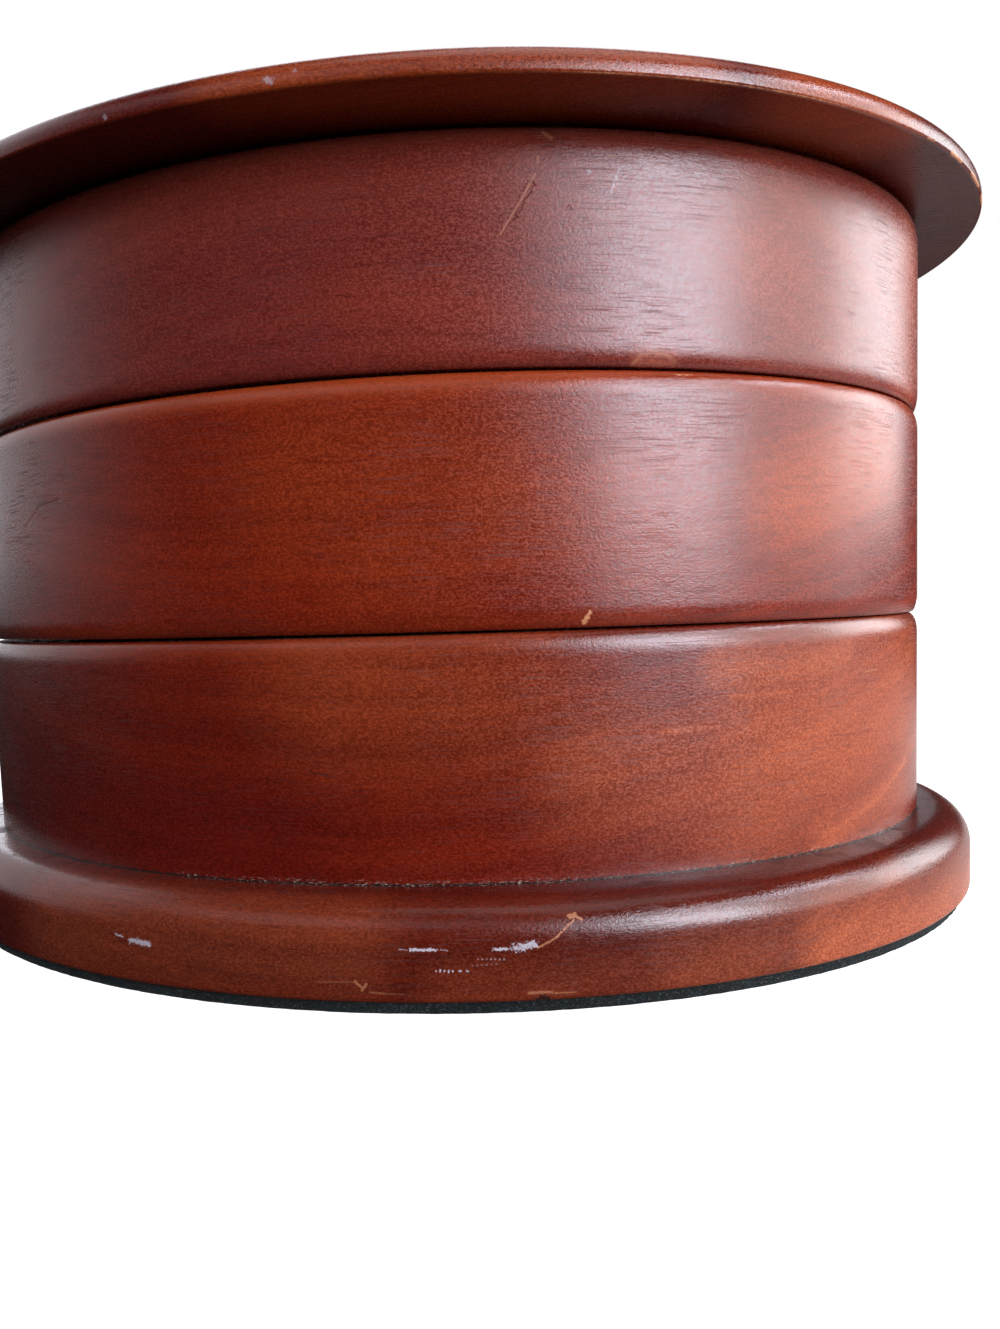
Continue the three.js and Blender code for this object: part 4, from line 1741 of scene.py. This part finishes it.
@dataclass
class Lid:
    """The thin overhanging lid, and the plate and screws that carry it."""

    finish: StainedWood
    top_round: Edge = Edge(4.4 * MM, 4.4 * MM, 12, 0.3)
    foot_ease: Edge = Edge(0.6 * MM, 0.6 * MM, 4)
    support: float = 0.3 * MM
    plate_gap: float = 0.2 * MM
    head_pocket: float = 11.25 * MM
    head_pocket_depth: float = 3.3 * MM
    plate_ease: float = 0.12 * MM
    screw_ease: float = 0.1 * MM
    screws: int = 3

    def build(self, steel: bpy.types.Material) -> None:
        """Builds and dresses the panel, the plate and the screws.

        Args:
            steel: The hardware's material.
        """
        self._panel()
        dresser = Dresser("lid")
        dresser.keep("retainer_plate", "steel", steel, self.plate_ease)
        for i in range(self.screws):
            dresser.keep(f"retainer_screw_{i + 1}", "steel", steel, self.screw_ease)

    def _panel(self) -> bpy.types.Object:
        """Builds and dresses the lid's board.

        Returns:
            The piece.
        """
        low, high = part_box("lid_panel")
        overhang = high.x - PLAN.half_width
        stations = [
            Station(Side.OUTER, overhang - self.foot_ease.inset - self.support, low.z),
            *self.foot_ease.foot(overhang, low.z),
            *self.top_round.rim(overhang, high.z),
            Station(Side.OUTER, overhang - self.top_round.inset - self.support, high.z),
        ]
        panel = swept("lid_panel_wood", PLAN, stations, False)
        plate_low, plate_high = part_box("retainer_plate")
        seat = (plate_high.x - plate_low.x) / 2 + self.plate_gap
        pocket = [
            (seat, low.z - OVERRUN),
            (seat, plate_high.z),
            (self.head_pocket, plate_high.z),
            (self.head_pocket, low.z + self.head_pocket_depth),
        ]
        cut(panel, turned("pocket", pocket, PLAN.pivot, False))
        smoothed(panel)
        return Dresser("lid").dress(panel, self.finish.material(), ["lid_panel"])


@dataclass
class FlatBoards:
    """Dividers or tray floors: flat boards that keep the shape of their solids."""

    nodes: dict[str, tuple[str, ...]]
    slot: str
    finish: StainedWood
    ease: float

    def build(self) -> None:
        """Gives each board its material and eased edges."""
        material = self.finish.material()
        for body, nodes in self.nodes.items():
            for node in nodes:
                Dresser(body).keep(node, self.slot, material, self.ease)


@dataclass
class Hardware:
    """The bolt, its nut and washer, and the bushes that the trays turn on."""

    ease: float = 0.25 * MM
    nut_ease: float = 0.3 * MM
    shank: float = 4 * MM
    head: float = 1.6 * MM
    bore: float = BOLT_HOLE
    barrel: float = 6 * MM
    flange: float = 1.6 * MM

    def build(self, steel: bpy.types.Material, nylon: bpy.types.Material) -> None:
        """Builds and dresses the pivot's pieces.

        Args:
            steel: The bolt's material.
            nylon: The bushes' material.
        """
        self._bolt(steel)
        self._bush("middle_bush", "middle_tray", nylon)
        self._bush("top_bush", "top_tray", nylon)
        self._washer("lid_washer", "top_tray", nylon)
        self._washer("pivot_nut_washer", "base", steel)
        Dresser("base").keep("pivot_nut", "steel", steel, self.nut_ease)

    def _bolt(self, steel: bpy.types.Material) -> None:
        """Builds and dresses the plain bolt with its thin flat head.

        Args:
            steel: Its material.
        """
        low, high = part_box("pivot_bolt")
        radius = (high.x - low.x) / 2
        profile = [
            (self.shank - 2 * self.ease, low.z),
            (self.shank, low.z + 2 * self.ease),
            (self.shank, high.z - self.head),
            (radius - self.ease, high.z - self.head),
            (radius, high.z - self.head + self.ease),
            (radius, high.z - self.ease),
            (radius - self.ease, high.z),
        ]
        bolt = smoothed(turned("pivot_bolt_steel", profile, PLAN.pivot, False))
        Dresser("base").dress(bolt, steel, ["pivot_bolt"])

    def _bush(self, node: str, body: str, nylon: bpy.types.Material) -> None:
        """Builds and dresses a flanged bush.

        Args:
            node: The bush's node.
            body: The body that it rides on.
            nylon: Its material.
        """
        low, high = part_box(node)
        rim, seat = (high.x - low.x) / 2, low.z + self.flange
        profile = [
            (self.bore, low.z),
            (rim, low.z),
            (rim, seat),
            (self.barrel, seat),
            (self.barrel, high.z),
            (self.bore, high.z),
        ]
        bush = smoothed(turned(f"{node}_nylon", eased(profile, self.ease), PLAN.pivot, True))
        Dresser(body).dress(bush, nylon, [node])

    def _washer(self, node: str, body: str, material: bpy.types.Material) -> None:
        """Builds and dresses a flat washer.

        Args:
            node: The washer's node.
            body: The body that it rides on.
            material: Its material.
        """
        low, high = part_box(node)
        rim = (high.x - low.x) / 2
        profile = [(self.bore, low.z), (rim, low.z), (rim, high.z), (self.bore, high.z)]
        washer = smoothed(turned(f"{node}_ring", eased(profile, self.ease), PLAN.pivot, True))
        Dresser(body).dress(washer, material, [node])


@dataclass(frozen=True)
class SoftPanel:
    """A soft upright panel of light around the box, in degrees.

    Bearings are 0 in front of the box and 90 at its right.
    """

    bearing: float
    half_width: float
    fade_left: float
    fade_right: float
    low: float
    high: float
    fade_up: float
    radiance: float
    tint: Colour = (0.90, 0.92, 1.0)


@dataclass
class Studio:
    """A pale floor, soft lights and the camera at the photograph's viewing angle."""

    camera_place: Point = (0.050455, -0.222532, 0.068239)
    yaw: float = -0.156
    pitch: float = -0.072
    roll: float = -0.033
    focal_pixels: float = 860.0
    sensor_mm: float = 36.0
    clip_start: float = 10 * MM
    floor_reach: float = 6.0
    floor_grey: Colour = (0.5, 0.5, 0.5)
    floor_glow: float = 0.86
    floor_dull: Colour = (0.025, 0.021, 0.021)
    floor_bright: Colour = (1.0, 0.92, 0.92)
    floor_shine: float = 0.8
    lit_rightward: Span = (20.0, 170.0)
    lit_backward: Span = (-320.0, -80.0)
    far_span: Span = (450.0, 150.0)
    far_share: float = 0.95
    dim: float = 0.045
    dim_tint: Colour = (0.93, 0.96, 1.0)
    ceiling_width: float = 0.9
    ceiling_radiance: float = 1.0
    ceiling_place: Point = (0.2, -0.1, 1.3)
    panels: tuple[SoftPanel, ...] = (
        SoftPanel(48.0, 8.0, 15.0, 3.0, 5.0, 28.0, 6.0, 15.6, (0.84, 0.88, 1.0)),
        SoftPanel(29.0, 8.0, 8.0, 6.0, 18.0, 34.0, 6.0, 3.4, (0.88, 0.90, 1.0)),
        SoftPanel(75.0, 20.0, 4.0, 4.0, 0.0, 30.0, 8.0, 3.6, (1.0, 0.95, 0.93)),
        SoftPanel(103.0, 8.0, 4.0, 26.0, 9.0, 28.0, 8.0, 7.6, (0.95, 0.97, 1.0)),
        SoftPanel(66.0, 28.0, 8.0, 16.0, 38.5, 41.0, 3.0, 17.0, (0.84, 0.88, 1.0)),
        SoftPanel(-115.0, 20.0, 14.0, 44.0, 6.0, 44.0, 8.0, 1.0, (0.90, 0.93, 1.0)),
        SoftPanel(-22.0, 30.0, 16.0, 16.0, 36.0, 50.0, 6.0, 0.7, (1.0, 0.86, 0.90)),
        SoftPanel(-165.0, 22.0, 14.0, 14.0, 4.0, 44.0, 14.0, 2.0),
    )

    def build(self) -> None:
        """Sets up the view, the floor and the lights."""
        bpy.context.scene.view_settings.view_transform = "Standard"
        self._camera()
        self._floor()
        self._room()
        self._ceiling()

    def _camera(self) -> None:
        """Places the camera."""
        level_reach = math.cos(self.pitch)
        ahead = (math.sin(self.yaw) * level_reach, math.cos(self.yaw) * level_reach)
        forward = Vector((*ahead, math.sin(self.pitch)))
        level = Vector((math.cos(self.yaw), -math.sin(self.yaw), 0.0))
        upright = level.cross(forward)
        right = level * math.cos(self.roll) + upright * math.sin(self.roll)
        up = upright * math.cos(self.roll) - level * math.sin(self.roll)
        data = bpy.data.cameras.new("camera")
        data.sensor_width = self.sensor_mm
        data.lens = self.focal_pixels / PHOTO_HEIGHT * self.sensor_mm
        data.clip_start = self.clip_start
        camera = bpy.data.objects.new("camera", data)
        bpy.context.scene.collection.objects.link(camera)
        turn = Matrix((right, up, -forward)).transposed().to_4x4()
        camera.matrix_world = Matrix.Translation(self.camera_place) @ turn
        bpy.context.scene.camera = camera

    def _floor(self) -> None:
        """Lays the pale floor. In the wood's reflections it is dull and dark, save a painted pool of light
        that glows to the right of the box and fades towards the front and the far back.
        """
        mesh = bpy.data.meshes.new("floor")
        corners = [(x * self.floor_reach, y * self.floor_reach, 0.0) for x, y in SQUARE]
        mesh.from_pydata(corners, [], [(0, 1, 2, 3)])
        floor = bpy.data.objects.new("floor", mesh)
        bpy.context.scene.collection.objects.link(floor)
        material = bpy.data.materials.new("pale_floor")
        material.use_nodes = True
        bench = Bench(material.node_tree)
        place = bench.place_mm()
        along, back = bench.axis(place, "X"), bench.axis(place, "Y")
        # Painted pool of light: the floor glows to the right of the box in reflections only, fading to
        # painted shade towards the front.
        lit = bench.step(along, *self.lit_rightward) * bench.step(back, *self.lit_backward)
        far = bench.step(back, *self.far_span) * self.far_share
        lit = lit * (1.0 - self.far_share + far) * self.floor_shine
        seen = bench.node("ShaderNodeLightPath", output="Is Camera Ray")
        board = self._glowing(bench, self.floor_dull, self.floor_bright, lit)
        pale = self._glowing(bench, self.floor_grey, WHITE, self.floor_glow)
        surface = bench.node("ShaderNodeMixShader", {}, {0: seen, 1: board, 2: pale})
        bench.node("ShaderNodeOutputMaterial", {}, {"Surface": surface})
        mesh.materials.append(material)

    @staticmethod
    def _glowing(bench: Bench, colour: Colour, glow: Colour, strength: Wire | float) -> Wire:
        """Adds a dull surface that also gives off light.

        Args:
            bench: The material under work.
            colour: The surface's colour.
            glow: The light's colour.
            strength: The light's strength.

        Returns:
            The shader's wire.
        """
        dull = bench.node("ShaderNodeBsdfDiffuse", {}, {"Color": (*colour, 1.0)})
        light = bench.node("ShaderNodeEmission", {}, {"Color": (*glow, 1.0), "Strength": strength})
        return bench.node("ShaderNodeAddShader", {}, {0: dull, 1: light})

    def _room(self) -> None:
        """Makes the backdrop white, and lights the box with soft panels in a dim room."""
        world = bpy.data.worlds.new("room")
        world.use_nodes = True
        bpy.context.scene.world = world
        bench = Bench(world.node_tree)
        towards = bench.node("ShaderNodeTexCoord", output="Generated")
        light = bench.mix(1.0, BLACK, tuple(value * self.dim for value in self.dim_tint), "ADD")
        for panel in self.panels:
            glow = tuple(value * panel.radiance for value in panel.tint)
            light = bench.mix(self._panel(bench, towards, panel), light, glow, "ADD")
        seen = bench.node("ShaderNodeLightPath", output="Is Camera Ray")
        room = bench.node("ShaderNodeBackground", {}, {"Color": light, "Strength": 1.0})
        white = bench.node("ShaderNodeBackground", {}, {"Color": (*WHITE, 1.0), "Strength": 1.0})
        surface = bench.node("ShaderNodeMixShader", {}, {0: seen, 1: room, 2: white})
        bench.node("ShaderNodeOutputWorld", {}, {"Surface": surface})

    @staticmethod
    def _panel(bench: Bench, towards: Wire, panel: SoftPanel) -> Wire:
        """Returns how much of a panel shows in a direction.

        Args:
            bench: The world under work.
            towards: The direction.
            panel: The panel.

        Returns:
            The mask's wire.
        """
        bearing = math.radians(panel.bearing)
        ahead = bench.number("DOT_PRODUCT", towards, (math.sin(bearing), -math.cos(bearing), 0.0))
        aside = bench.number("DOT_PRODUCT", towards, (math.cos(bearing), math.sin(bearing), 0.0))
        turn = bench.node("ShaderNodeMath", {"operation": "ARCTAN2"}, {0: aside, 1: ahead})
        rise = bench.node("ShaderNodeMath", {"operation": "ARCSINE"}, {0: bench.axis(towards, "Z")})
        turn, rise = turn * math.degrees(1.0), rise * math.degrees(1.0)
        across = bench.step(turn, -panel.half_width - panel.fade_left, -panel.half_width)
        across = across * bench.step(turn, panel.half_width + panel.fade_right, panel.half_width)
        upward = bench.step(rise, panel.low - panel.fade_up, panel.low)
        return across * upward * bench.step(rise, panel.high + panel.fade_up, panel.high)

    def _ceiling(self) -> None:
        """Hangs a weak soft light overhead, aimed at the box."""
        data = bpy.data.lights.new("ceiling", "AREA")
        data.shape = "SQUARE"
        data.size = self.ceiling_width
        data.energy = self.ceiling_radiance * math.pi * self.ceiling_width**2
        light = bpy.data.objects.new("ceiling", data)
        light.location = self.ceiling_place
        light.rotation_euler = (-light.location).to_track_quat("-Z", "Y").to_euler()
        bpy.context.scene.collection.objects.link(light)


def main() -> None:
    """Builds the box's sub-assemblies in order and reports each piece."""
    logging.basicConfig(level=logging.INFO, format="%(name)s: %(message)s")
    Studio().build()
    velvet = VELVET.material()
    steel = STEEL.material()
    Base(MOULDING_WOOD).build(FELT.material())
    TrayWall("bottom_tray_wall", RUSSET_WOOD, "base", turning=False).build()
    TrayWall("middle_tray_wall", AMBER_WOOD, "middle_tray").build()
    TrayWall("top_tray_wall", PLUM_WOOD, "top_tray", washer_depth=0.8 * MM).build()
    for tray, body in (("bottom", "base"), ("middle", "middle_tray"), ("top", "top_tray")):
        VelvetBed(f"{tray}_tray_lining", body).build(velvet)
    RingCushion(tuple(f"ring_roll_{i + 1}" for i in range(RING_ROLLS)), "top_tray").build(velvet)
    FlatBoards(DIVIDERS, "stained_wood", DIVIDER_WOOD, ease=0.7 * MM).build()
    FlatBoards(FLOORS, "plywood", PLYWOOD, ease=0.2 * MM).build()
    Hardware().build(steel, NYLON.material())
    Lid(LID_WOOD).build(steel)


if __name__ == "__main__":
    main()
